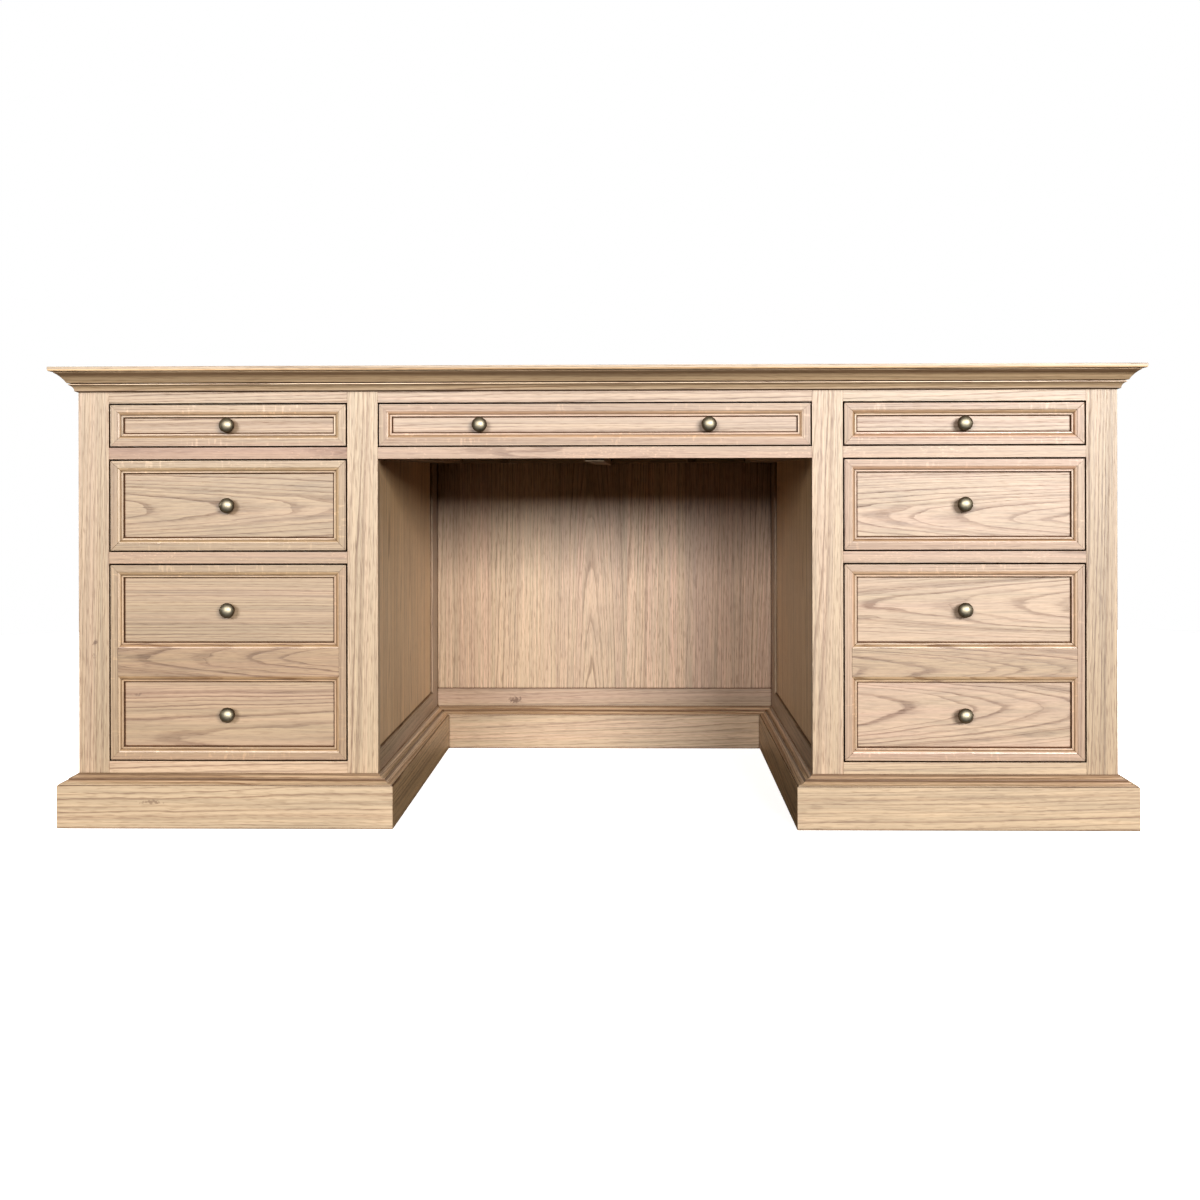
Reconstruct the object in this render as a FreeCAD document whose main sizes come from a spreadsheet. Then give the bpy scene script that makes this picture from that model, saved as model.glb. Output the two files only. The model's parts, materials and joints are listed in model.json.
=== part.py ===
import FreeCAD, Part
import math
import os
import re

import Sketcher

# A kneehole pedestal desk in oak, in millimetres.
# The origin is on the floor under the middle of the top. X runs to the right, the drawers face -Y, Z is up.

SIZES = {
    # Overall desk
    "top_width": 1800,
    "top_depth": 900,
    "desk_height": 762,
    "knee_width": 720,
    # Writing top and its moulded lipping
    "slab_thick": 25.5,
    "top_overhang": 39,
    "lipping_wide": 64,
    "fascia_high": 4,
    "ovolo_drop": 3.5,
    "ovolo_reach": 3.5,
    "top_quirk_drop": 1.6,
    "top_quirk_reach": 4,
    "top_cove_reach": 16.5,
    "top_cove_radius": 45,
    # Bed moulding under the top
    "bed_rise": 15.2,
    "bed_reach": 12.8,
    "bed_quirk_drop": 1.5,
    "bed_quirk_reach": 2.5,
    "bed_fillet": 1.8,
    "bed_foot_rise": 1.8,
    "bed_foot_reach": 5.2,
    # Face frame
    "stile_wide": 51,
    "frame_thick": 22,
    "rail_high": 19.5,
    "top_rail_high": 33.8,
    "base_rail_top": 106.7,
    "middle_opening": 154.4,
    "shallow_opening": 73.6,
    # Sides and back
    "carcass_low": 18,
    "side_thick": 17,
    "panel_recess": 5,
    "side_rail_top": 124,
    "side_top_rail": 74,
    "side_stile_wide": 76,
    "back_frame_thick": 24,
    "back_panel_thick": 14,
    "back_stile_wide": 76,
    # Plinth and base moulding
    "plinth_high": 70.5,
    "plinth_thick": 28,
    "base_rise": 16.2,
    "base_ledge": 2,
    "base_lip": 2,
    "base_step": 13,
    "base_mid": 8.5,
    "base_quirk": 1.5,
    "base_crown": 1.5,
    # Inside the pedestals
    "bottom_board": 15,
    "runner_wide": 60,
    "dust_panel": 6,
    "guide_high": 20,
    "packer_high": 60,
    # Screws that hold the top down on its cleats
    "screw_dia": 5,
    "screw_head_dia": 9,
    "screw_head": 3,
    "screw_grip": 16,
    "screw_end": 80,
    # Under the centre drawer
    "bearer_wide": 32,
    "bearer_drop": 4.6,
    "cross_rail_back": 280,
    "cross_rail_deep": 40,
    "cross_rail_high": 15,
    "block_wide": 17,
    "block_apart": 344,
    # Drawer fronts
    "drawer_gap": 2.4,
    "front_thick": 18,
    "front_panel": 9.5,
    "frame_flat": 11.8,
    "frame_mould": 8.6,
    "mould_quirk": 0.9,
    "mould_fillet": 2.8,
    "mould_lip": 4.3,
    "panel_rebate": 6,
    "mid_rail_flat": 47,
    # Drawer boxes
    "box_board": 12,
    "pin_narrow": 6,
    "pin_flare": 4,
    "box_drop": 10,
    "box_back_gap": 140,
    "box_bottom": 6,
    "groove_deep": 6,
    "groove_up": 10,
    "file_box_up": 15,
    "file_box_drop": 69,
    "file_back_gap": 125,
    # Telescopic slides of the file drawers
    "slide_high": 45,
    "slide_thick": 12.7,
    "slide_wall": 1.2,
    "slide_flange": 7.8,
    "slide_back_gap": 126,
    "slide_up": 120,
    # Knobs
    "knob_dia": 25,
    "knob_out": 25,
    "knob_waist": 17,
    "knob_neck_dia": 11,
    "knob_neck": 9,
    "knob_foot_dia": 17,
    "knob_foot": 2.5,
    "stud_dia": 5,
    "stud_spare": 1.5,
    "nut_dia": 9.5,
    "nut_thick": 4,
    "centre_knobs_apart": 380,
    # Fits
    "joint_gap": 0.2,
    "run_gap": 0.3,
    "side_play": 1,
    "slide_play": 0.4,
    "stud_play": 0.5,
}

# Planes and lengths that several pieces share, worked out from the sizes above.
PLACES = {
    "outer_x": "top_width / 2 - top_overhang",
    "knee_x": "knee_width / 2",
    "face_y": "top_overhang - top_depth / 2",
    "back_y": "top_depth / 2 - top_overhang",
    "carcass_top": "desk_height - slab_thick",
    "carcass_high": "carcass_top - carcass_low",
    "ovolo_foot": "slab_thick - fascia_high - ovolo_drop",
    "edge_foot": "lipping_wide - ovolo_reach - top_quirk_reach - top_cove_reach",
    "bed_fillet_top": "bed_rise - bed_quirk_drop",
    "frame_back": "face_y + frame_thick",
    "back_in": "back_y - back_frame_thick",
    "back_panel_y": "back_in + (back_frame_thick - back_panel_thick) / 2",
    "inside_deep": "back_in - frame_back",
    "pedestal_wide": "outer_x - knee_x",
    "pedestal_mid": "(outer_x + knee_x) / 2",
    "opening_wide": "pedestal_wide - 2 * stile_wide",
    "guide_wide": "stile_wide - side_thick",
    "panel_thick": "side_thick - panel_recess",
    "panel_high": "carcass_top - side_top_rail - side_rail_top",
    "shallow_high": "carcass_top - top_rail_high",
    "shallow_low": "shallow_high - shallow_opening",
    "middle_high": "shallow_low - rail_high",
    "middle_low": "middle_high - middle_opening",
    "deep_high": "middle_low - rail_high",
    "deep_opening": "deep_high - base_rail_top",
    "base_reach": "plinth_thick - base_ledge",
    "member_wide": "frame_flat + frame_mould",
    "mid_rail_wide": "mid_rail_flat + 2 * frame_mould",
    "front_back": "face_y + front_thick",
    "panel_face": "front_back - front_panel",
    "box_long": "back_in - front_back - box_back_gap",
    "file_box_long": "back_in - front_back - file_back_gap",
    "file_box_high": "deep_opening - file_box_up - file_box_drop",
    "slide_long": "inside_deep - slide_back_gap",
    "slide_mid": "base_rail_top + slide_up",
    "middle_slide_high": "slide_high - 2 * slide_wall - 2 * slide_play",
    "inner_slide_high": "middle_slide_high - 2 * slide_wall - 2 * slide_play",
    "screw_long": "top_rail_high + screw_grip",
    "stud_long": "front_panel + box_board + nut_thick + stud_spare",
}

doc = FreeCAD.newDocument("pedestal_desk")
sizes_sheet = doc.addObject("Spreadsheet::Sheet", "Sizes")
places_sheet = doc.addObject("Spreadsheet::Sheet", "Places")


def linked(words):
    """Turn the plain names in a formula into references to the two sheets."""
    def sheet_name(match):
        name = match.group(0)
        if name in SIZES:
            return "Sizes." + name
        if name in PLACES:
            return "Places." + name
        raise KeyError(name)
    return re.sub(r"[a-z_]+", sheet_name, words)


def fill_sheet(sheet, rows):
    """Write one named row for each entry: its name in column A, its content in column B."""
    for row, (name, content) in enumerate(rows, start=1):
        sheet.set("A%d" % row, name)
        sheet.set("B%d" % row, content)
        sheet.setAlias("B%d" % row, name)
    doc.recompute()


fill_sheet(sizes_sheet, [(name, str(number)) for name, number in SIZES.items()])
fill_sheet(places_sheet, [(name, "=" + linked(words)) for name, words in PLACES.items()])


def measure(words):
    """The present value of a formula, used to start a sketch near its solution."""
    return float(sizes_sheet.evalExpression(linked(words)))


def bind(thing, prop, words):
    thing.setExpression(prop, linked(words))


def set_at(thing, corner, rotation=None):
    """Put a piece at a corner given by three formulas, turned by an optional rotation."""
    thing.Placement = FreeCAD.Placement(FreeCAD.Vector(), rotation or FreeCAD.Rotation())
    for axis, words in zip("xyz", corner):
        bind(thing, "Placement.Base." + axis, words)


def board(name, corner, size):
    """A plain board from its low corner and its extent along X, Y and Z."""
    box = doc.addObject("Part::Box", name)
    for prop, words in zip(("Length", "Width", "Height"), size):
        bind(box, prop, words)
    set_at(box, corner)
    return box


X, Y, Z = FreeCAD.Vector(1, 0, 0), FreeCAD.Vector(0, 1, 0), FreeCAD.Vector(0, 0, 1)


def rod(name, centre, radius, length, upright=False):
    """A round bar that lies along +Y from its centre point, or stands upright on it."""
    bar = doc.addObject("Part::Cylinder", name)
    bind(bar, "Radius", radius)
    bind(bar, "Height", length)
    set_at(bar, centre, None if upright else FreeCAD.Rotation(X, -90))
    return bar


def group(name, pieces):
    """Several separate pieces as one object."""
    together = doc.addObject("Part::Compound", name)
    together.Links = pieces
    return together


def without(name, base, tools):
    """The base with each tool cut out of it, one after the other."""
    for count, tool in enumerate(tools, start=1):
        cut = doc.addObject("Part::Cut", "%s_cut_%d" % (name, count))
        cut.Base = base
        cut.Tool = tool
        base = cut
    return base


nodes = []


def node(label, pieces):
    """Make one named sub-part out of one piece, or out of a group of separate pieces."""
    part = pieces[0] if len(pieces) == 1 else group(label, pieces)
    part.Label = label
    nodes.append(part)


NAMED_BENDS = ("start_level", "start_plumb", "end_level", "end_plumb")


def arc_centre(start, end, bend):
    """Centre of an arc that is level or plumb with its start or its end, or of a hollow with a radius."""
    if bend not in NAMED_BENDS:
        chord = math.dist(start, end)
        away = math.sqrt(measure(bend) ** 2 - chord * chord / 4) / chord
        return ((start[0] + end[0]) / 2 + away * (end[1] - start[1]),
                (start[1] + end[1]) / 2 - away * (end[0] - start[0]))
    near, far = (start, end) if bend.startswith("start") else (end, start)
    du = far[0] - near[0]
    dv = far[1] - near[1]
    if bend.endswith("level"):
        return near[0] + (du * du + dv * dv) / (2 * du), near[1]
    return near[0], near[1] + (du * du + dv * dv) / (2 * dv)


def draw_outline(sketch, corners):
    """Draw one closed outline, anticlockwise. Each corner is (u, v) or (u, v, bend), in formulas: a bend
    makes the edge to the next corner an arc. Its centre is level or plumb with that edge's start or end,
    or the bend is the radius of a hollow."""
    first = sketch.GeometryCount
    points = [(measure(corner[0]), measure(corner[1])) for corner in corners]
    edges = []
    # Sketch vertices: 1 is an edge's start, 2 its end and 3 an arc's centre. Arcs always run anticlockwise.
    ends = []
    for place, corner in enumerate(corners):
        start = points[place]
        end = points[(place + 1) % len(points)]
        if len(corner) == 2:
            edges.append(Part.LineSegment(FreeCAD.Vector(*start, 0), FreeCAD.Vector(*end, 0)))
            ends.append((1, 2))
            continue
        centre = arc_centre(start, end, corner[2])
        angles = [math.atan2(point[1] - centre[1], point[0] - centre[0]) for point in (start, end)]
        turn = (angles[1] - angles[0]) % (2 * math.pi)
        ends.append((1, 2) if turn < math.pi else (2, 1))
        if turn > math.pi:
            angles.reverse()
        circle = Part.Circle(FreeCAD.Vector(*centre, 0), FreeCAD.Vector(0, 0, 1), math.dist(centre, start))
        edges.append(Part.ArcOfCircle(circle, angles[0], angles[1]))
    sketch.addGeometry(edges, False)

    rules = []
    formulas = []
    for place, corner in enumerate(corners):
        edge = first + place
        before = first + (place - 1) % len(corners)
        head, tail = ends[place]
        rules.append(Sketcher.Constraint("Coincident", before, ends[place - 1][1], edge, head))
        formulas.append(None)
        for kind, words, axis, number in (("DistanceX", corner[0], -2, points[place][0]),
                                          ("DistanceY", corner[1], -1, points[place][1])):
            if words == "0":
                rules.append(Sketcher.Constraint("PointOnObject", edge, head, axis))
                formulas.append(None)
            else:
                rules.append(Sketcher.Constraint(kind, -1, 1, edge, head, number))
                formulas.append(words)
        if len(corner) == 3 and corner[2] in NAMED_BENDS:
            kind = "Horizontal" if corner[2].endswith("level") else "Vertical"
            touch = head if corner[2].startswith("start") else tail
            rules.append(Sketcher.Constraint(kind, edge, 3, edge, touch))
            formulas.append(None)
        elif len(corner) == 3:
            rules.append(Sketcher.Constraint("Radius", edge, measure(corner[2])))
            formulas.append(corner[2])
    numbers = sketch.addConstraint(rules)
    for number, words in zip(numbers, formulas):
        if words:
            bind(sketch, "Constraints[%d]" % number, words)


def new_sketch(body, name, role):
    """A sketch on one of the body's own origin planes."""
    sketch = body.newObject("Sketcher::SketchObject", name)
    plane = next(item for item in body.Origin.OriginFeatures if item.Role == role)
    sketch.AttachmentSupport = [(plane, "")]
    sketch.MapMode = "FlatFace"
    return sketch


pockets = []


def section_bar(name, outline, length, corner, axes, notches=()):
    """A bar with one section all along it. Its own X runs along the bar, and the section lies in its Y and Z.
    The notches are outlines in its X and Y that are cut right through its Z, such as mitred ends."""
    body = doc.addObject("PartDesign::Body", name)
    section = new_sketch(body, name + "_section", "YZ_Plane")
    draw_outline(section, outline)
    pad = body.newObject("PartDesign::Pad", name + "_pad")
    pad.Profile = section
    bind(pad, "Length", length)
    section.Visibility = False
    if notches:
        plan = new_sketch(body, name + "_ends", "XY_Plane")
        for notch in notches:
            draw_outline(plan, notch)
        pocket = body.newObject("PartDesign::Pocket", name + "_mitres")
        pocket.Profile = plan
        pocket.Reversed = True
        bind(pocket, "Length", notch_depth(outline))
        plan.Visibility = False
        pockets.append((pad, pocket))
    along, across, up = axes
    set_at(body, corner, FreeCAD.Rotation(along, across, up, "XYZ"))
    return body


def turned(name, outline, corner, rotation):
    """A round piece: its outline, given as radius and height, is turned about the sketch's upright axis."""
    body = doc.addObject("PartDesign::Body", name)
    sketch = new_sketch(body, name + "_outline", "XY_Plane")
    draw_outline(sketch, outline)
    revolved = body.newObject("PartDesign::Revolution", name + "_turned")
    revolved.Profile = sketch
    revolved.ReferenceAxis = (sketch, ["V_Axis"])
    revolved.Angle = 360
    sketch.Visibility = False
    set_at(body, corner, rotation)
    return body


def notch_depth(outline):
    """The formula of an outline's largest height."""
    return max((corner[1] for corner in outline), key=measure)


def mitre(reach, length, at_end, widens):
    """The waste triangle of a mitred end. A bar that widens is longest on its far edge, at reach."""
    near = "(%s)" % length if at_end else "0"
    inner = "(%s) - (%s)" % (length, reach) if at_end else reach
    if widens:
        return [(near, "0"), (inner, "0"), (near, reach)]
    return [(near, "0"), (inner, reach), (near, reach)]


def signed(vector, axis):
    return round(getattr(vector, axis))


def moulding(name, outline, reach, low, start, length, outward, start_widens, end_widens):
    """A horizontal moulding or board that is planted on a wall and mitred at both ends. The start point and
    the length are on the wall's line, and the bar runs so that outward is on its left hand."""
    along = outward.cross(Z)
    spread = int(start_widens) + int(end_widens)
    full = "%s + %d * (%s) - joint_gap" % (length, spread, reach)
    shift = "(%d * (%s) - joint_gap / 2)" % (int(start_widens), reach)
    corner = ["%s - %s * %d" % (start[0], shift, signed(along, "x")),
              "%s - %s * %d" % (start[1], shift, signed(along, "y")),
              low]
    ends = [mitre(reach, full, False, start_widens), mitre(reach, full, True, end_widens)]
    return section_bar(name, outline, full, corner, (along, outward, Z), ends)


def around_desk(name, outline, reach, low, half_wide, half_deep):
    """The same moulding on all four sides of a rectangle, mitred at its outer corners."""
    walls = (
        ("front", (half_wide, "-(%s)" % half_deep), "2 * (%s)" % half_wide, -Y),
        ("left", ("-(%s)" % half_wide, "-(%s)" % half_deep), "2 * (%s)" % half_deep, -X),
        ("rear", ("-(%s)" % half_wide, half_deep), "2 * (%s)" % half_wide, Y),
        ("right", (half_wide, half_deep), "2 * (%s)" % half_deep, X),
    )
    return {side: moulding("%s_%s" % (name, side), outline, reach, low, start, length, outward, True, True)
            for side, start, length, outward in walls}


# Writing top: a flat panel in a mitred solid lipping.
# From the top down its edge is a fascia, an ovolo, a quirk and a long shallow cove.
LIPPING = [
    ("0", "0"),
    ("edge_foot", "0", "top_cove_radius"),
    ("edge_foot + top_cove_reach", "ovolo_foot - top_quirk_drop"),
    ("edge_foot + top_cove_reach", "ovolo_foot"),
    ("lipping_wide - ovolo_reach", "ovolo_foot", "end_level"),
    ("lipping_wide", "slab_thick - fascia_high"),
    ("lipping_wide", "slab_thick"),
    ("0", "slab_thick"),
]
top_blank = board(
    "desk_top_blank",
    ("lipping_wide - top_width / 2", "lipping_wide - top_depth / 2", "carcass_top"),
    ("top_width - 2 * lipping_wide", "top_depth - 2 * lipping_wide", "slab_thick"))
lipping = around_desk("top_lipping", LIPPING, "lipping_wide", "carcass_top",
                      "top_width / 2 - lipping_wide", "top_depth / 2 - lipping_wide")
node("top_lipping", list(lipping.values()))

# Bed moulding: planted on the carcass, close under the top, on all four sides.
BED = [
    ("0", "0"),
    ("bed_foot_reach", "bed_foot_rise", "start_level"),
    ("bed_reach", "bed_fillet_top - bed_fillet"),
    ("bed_reach", "bed_fillet_top"),
    ("bed_reach - bed_quirk_reach", "bed_fillet_top"),
    ("bed_reach - bed_quirk_reach", "bed_rise"),
    ("0", "bed_rise"),
]
bed = around_desk("bed_moulding", BED, "bed_reach", "carcass_top - bed_rise", "outer_x", "back_y")
node("bed_moulding", list(bed.values()))

# Plinth boards stand on the floor against the carcass, and the base moulding sits on them. They run round
# both pedestals and through the kneehole, mitred outwards at the free corners and inwards at its back.
PLINTH = [
    ("0", "0"),
    ("plinth_thick", "0"),
    ("plinth_thick", "plinth_high"),
    ("0", "plinth_high"),
]
BASE = [
    ("0", "0"),
    ("base_reach", "0"),
    ("base_reach", "base_lip", "start_plumb"),
    ("base_step", "base_mid"),
    ("base_step", "base_mid + base_quirk"),
    ("base_step - base_quirk", "base_mid + base_quirk", "start_plumb"),
    ("base_crown", "base_rise"),
    ("0", "base_rise"),
]
knee_deep = "back_in - face_y"
full_deep = "back_y - face_y"
base_runs = {
    "left": (
        ("front", ("-knee_x", "face_y"), "pedestal_wide", -Y, True, True),
        ("outer", ("-outer_x", "face_y"), full_deep, -X, True, True),
        ("inner", ("-knee_x", "back_in"), knee_deep, X, False, True),
    ),
    "right": (
        ("front", ("outer_x", "face_y"), "pedestal_wide", -Y, True, True),
        ("outer", ("outer_x", "back_y"), full_deep, X, True, True),
        ("inner", ("knee_x", "face_y"), knee_deep, -X, True, False),
    ),
    "rear": (
        ("wall", ("-outer_x", "back_y"), "2 * outer_x", Y, True, True),
        ("kneehole", ("knee_x", "back_in"), "knee_width", -Y, False, False),
    ),
}
for kind, outline, reach, low in (("plinth", PLINTH, "plinth_thick", "0 * plinth_high"),
                                  ("base_moulding", BASE, "base_reach", "plinth_high")):
    for wall, runs in base_runs.items():
        label = "%s_%s" % (wall, kind)
        node(label, [moulding("%s_%s" % (label, run[0]), outline, reach, low, *run[1:]) for run in runs])


def on_side(side, low, wide):
    """Low X of a piece that is laid out on the right-hand side, or of its mirror image on the left."""
    return low if side == "right" else "-(%s) - (%s)" % (low, wide)


def pedestal_carcass(side):
    """Face frame, sides, back panel and inner framing of one pedestal."""
    def part(name, low, wide, y, deep, z, high):
        return board("%s_%s" % (side, name), (on_side(side, low, wide), y, z), (wide, deep, high))

    # Face frame: two full-height stiles with four rails between them.
    node(side + "_outer_stile", [part("outer_stile", "outer_x - stile_wide", "stile_wide",
                                      "face_y", "frame_thick", "carcass_low", "carcass_high")])
    node(side + "_inner_stile", [part("inner_stile", "knee_x", "stile_wide",
                                      "face_y", "frame_thick", "carcass_low", "carcass_high")])
    rails = (
        ("base_rail", "carcass_low", "base_rail_top - carcass_low"),
        ("lower_rail", "deep_high", "rail_high"),
        ("upper_rail", "middle_high", "rail_high"),
        ("top_rail", "shallow_high", "top_rail_high"),
    )
    node(side + "_drawer_rails", [part(name, "knee_x + stile_wide", "opening_wide",
                                       "face_y", "frame_thick", z, high) for name, z, high in rails])

    # Outer side: stiles and rails round a sunk panel. The inner side has no front stile of its own: its rails
    # and panel run up to the face frame.
    outer_low = "outer_x - side_thick"
    rail_y = "frame_back + side_stile_wide"
    rail_deep = "inside_deep - 2 * side_stile_wide"
    inner_deep = "inside_deep - side_stile_wide"
    rear_y = "back_in - side_stile_wide + joint_gap"
    stile_deep = "side_stile_wide - joint_gap"
    lower = ("carcass_low", "side_rail_top - carcass_low")
    upper = ("carcass_top - side_top_rail", "side_top_rail")
    members = [part(name, low, "side_thick", y, stile_deep, "carcass_low", "carcass_high")
               for name, low, y in (("outer_front_stile", outer_low, "frame_back"),
                                    ("outer_rear_stile", outer_low, rear_y),
                                    ("inner_rear_stile", "knee_x", rear_y))]
    for name, (z, high) in (("lower", lower), ("upper", upper)):
        members.append(part("outer_%s_rail" % name, outer_low, "side_thick", rail_y, rail_deep, z, high))
        members.append(part("inner_%s_rail" % name, "knee_x", "side_thick",
                            "frame_back", inner_deep, z, high))
    node(side + "_side_frames", members)
    node(side + "_outer_panel", [part("outer_panel", outer_low, "panel_thick",
                                      rail_y, rail_deep, "side_rail_top", "panel_high")])
    node(side + "_inner_panel", [part("inner_panel", "knee_x + panel_recess", "panel_thick",
                                      "frame_back", inner_deep, "side_rail_top", "panel_high")])
    node(side + "_back_panel", [part("back_panel", "knee_x + back_stile_wide",
                                     "pedestal_wide - 2 * back_stile_wide", "back_panel_y",
                                     "back_panel_thick", "side_rail_top", "panel_high")])

    # Runner frames behind the two lower rails: a runner on each side, a rear cross rail and a dust panel.
    inner_low = "knee_x + side_thick"
    between_low = "knee_x + side_thick + runner_wide + joint_gap"
    between = "pedestal_wide - 2 * side_thick - 2 * runner_wide - 2 * joint_gap"
    frame = []
    guides = []
    for level, z in (("lower", "deep_high"), ("upper", "middle_high")):
        for edge, low in (("outer", outer_low + " - runner_wide"), ("inner", inner_low)):
            frame.append(part("%s_%s_runner" % (level, edge), low, "runner_wide",
                              "frame_back", "inside_deep", z, "rail_high"))
        frame.append(part(level + "_cross_rail", between_low, between,
                          "back_in - runner_wide", "runner_wide", z, "rail_high"))
        frame.append(part(level + "_dust_panel", between_low, between, "frame_back",
                          "inside_deep - runner_wide - joint_gap",
                          z + " + (rail_high - dust_panel) / 2", "dust_panel"))
        for edge, low in (("outer", "outer_x - stile_wide"), ("inner", inner_low)):
            guides.append(part("%s_%s_guide" % (level, edge), low, "guide_wide",
                               "frame_back", "inside_deep", z + " + rail_high", "guide_high"))
    node(side + "_runner_frames", frame)

    # Packers that bring the file drawer's slides out to the edge of the opening.
    packers = [part(edge + "_packer", low, "guide_wide", "frame_back", "inside_deep",
                    "slide_mid - packer_high / 2", "packer_high")
               for edge, low in (("outer", "outer_x - stile_wide"), ("inner", inner_low))]
    bottom = part("bottom", inner_low, "pedestal_wide - 2 * side_thick", "frame_back", "inside_deep",
                  "base_rail_top - bottom_board", "bottom_board")
    return {"pedestal_bottoms": [bottom], "drawer_guides": guides, "slide_packers": packers}


left_framing = pedestal_carcass("left")
right_framing = pedestal_carcass("right")
for label, pieces in left_framing.items():
    node(label, pieces + right_framing[label])


# Cleats along the pedestal sides, flush with the tops of the drawer openings, keep the top drawers from
# tipping. The top is screwed to them from below, with each screw's head sunk in its cleat.
SCREW = [
    ("0", "0"),
    ("screw_head_dia / 2", "0"),
    ("screw_head_dia / 2", "screw_head"),
    ("screw_dia / 2", "screw_head"),
    ("screw_dia / 2", "screw_long"),
    ("0", "screw_long"),
]
screw_ys = ("frame_back + screw_end", "frame_back + inside_deep / 2", "back_in - screw_end")
cleat_lows = {"outer": "outer_x - side_thick - runner_wide",
              "inner": "knee_x + side_thick",
              "knee": "knee_x - runner_wide"}
cleats = []
screws = []
top_holes = []
for side in ("left", "right"):
    for edge, low in cleat_lows.items():
        name = "%s_%s_cleat" % (side, edge)
        cleat_x = on_side(side, low, "runner_wide")
        middle = cleat_x + " + runner_wide / 2"
        blank = board(name + "_blank", (cleat_x, "frame_back", "shallow_high"),
                      ("runner_wide", "inside_deep", "top_rail_high"))
        holes = []
        sinkings = []
        for count, y in enumerate(screw_ys, start=1):
            at = "%s_%d" % (name, count)
            foot = (middle, y, "shallow_high")
            holes.append(rod(at + "_hole", foot, "screw_dia / 2 + joint_gap", "top_rail_high", upright=True))
            sinkings.append(rod(at + "_sinking", foot, "screw_head_dia / 2 + joint_gap", "screw_head",
                                upright=True))
            top_holes.append(rod(at + "_pilot", (middle, y, "carcass_top"), "screw_dia / 2 + joint_gap",
                                 "screw_grip + joint_gap", upright=True))
            screws.append(turned(at + "_screw", SCREW, foot, FreeCAD.Rotation(X, 90)))
        cuts = [group(name + "_holes", holes), group(name + "_sinkings", sinkings)]
        cleats.append(without(name, blank, cuts))
node("top_cleats", cleats)
node("top_screws", screws)
node("desk_top_panel", [without("desk_top_panel", top_blank, [group("top_pilots", top_holes)])])

# Back of the desk: four stiles with rails between them, and a sunk panel in each of the three bays.
back_rails_z = (("lower", "carcass_low", "side_rail_top - carcass_low"),
                ("upper", "carcass_top - side_top_rail", "side_top_rail"))
bays = (("left", "-outer_x + back_stile_wide", "pedestal_wide - 2 * back_stile_wide"),
        ("kneehole", "-knee_x", "knee_width"),
        ("right", "knee_x + back_stile_wide", "pedestal_wide - 2 * back_stile_wide"))
back_frame = []
back_stile = "back_stile_wide - 2 * joint_gap"
for side in ("left", "right"):
    for edge, low in (("outer", "outer_x - back_stile_wide + joint_gap"), ("inner", "knee_x + joint_gap")):
        back_frame.append(board("%s_%s_back_stile" % (side, edge),
                                (on_side(side, low, back_stile), "back_in", "carcass_low"),
                                (back_stile, "back_frame_thick", "carcass_high")))
for level, z, high in back_rails_z:
    for bay, low, wide in bays:
        back_frame.append(board("%s_back_%s_rail" % (bay, level), (low, "back_in", z),
                                (wide, "back_frame_thick", high)))
node("back_frame", back_frame)
node("kneehole_back_panel", [board(
    "kneehole_back_panel",
    ("-knee_x", "back_panel_y", "side_rail_top"),
    ("knee_width", "back_panel_thick", "panel_high"))])

# Above the kneehole: two rails of the face frame, and the framing that carries the centre drawer.
node("centre_drawer_rails", [
    board("centre_lower_rail", ("-knee_x", "face_y", "middle_high"),
          ("knee_width", "frame_thick", "rail_high")),
    board("centre_top_rail", ("-knee_x", "face_y", "shallow_high"),
          ("knee_width", "frame_thick", "top_rail_high"))])
cross_y = "face_y + cross_rail_back"
under_centre = [
    board("centre_%s_runner" % side,
          (on_side(side, "knee_x - runner_wide", "runner_wide"), "frame_back", "middle_high"),
          ("runner_wide", "inside_deep", "rail_high"))
    for side in ("left", "right")]
half_span = "(knee_x - runner_wide - bearer_wide / 2)"
for side in ("left", "right"):
    span = (on_side(side, "bearer_wide / 2 + joint_gap", half_span + " - 2 * joint_gap"),
            half_span + " - 2 * joint_gap")
    under_centre.append(board("centre_%s_rear_rail" % side, (span[0], "back_in - runner_wide", "middle_high"),
                              (span[1], "runner_wide", "rail_high")))
    under_centre.append(board("centre_%s_cross_rail" % side,
                              (span[0], cross_y, "shallow_low - cross_rail_high"),
                              (span[1], "cross_rail_deep", "cross_rail_high")))
    under_centre.append(board("centre_%s_block" % side,
                              (on_side(side, "block_apart / 2 - block_wide / 2", "block_wide"), cross_y,
                               "middle_high - bearer_drop"),
                              ("block_wide", "cross_rail_deep",
                               "rail_high - cross_rail_high + bearer_drop - joint_gap")))
under_centre.append(board("centre_bearer",
                          ("-bearer_wide / 2", "frame_back", "middle_high - bearer_drop"),
                          ("bearer_wide", "inside_deep", "rail_high + bearer_drop")))
node("centre_drawer_framing", under_centre)

# One member of a drawer front's frame: flat outside, then an ovolo and a fillet towards the panel,
# and a rebate behind for it.
MEMBER = [
    ("0", "0"),
    ("member_wide - panel_rebate", "0"),
    ("member_wide - panel_rebate", "front_panel"),
    ("member_wide", "front_panel"),
    ("member_wide", "front_panel + mould_lip"),
    ("member_wide - mould_fillet", "front_panel + mould_lip", "end_plumb"),
    ("frame_flat", "front_thick - mould_quirk"),
    ("frame_flat", "front_thick"),
    ("0", "front_thick"),
]
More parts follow.
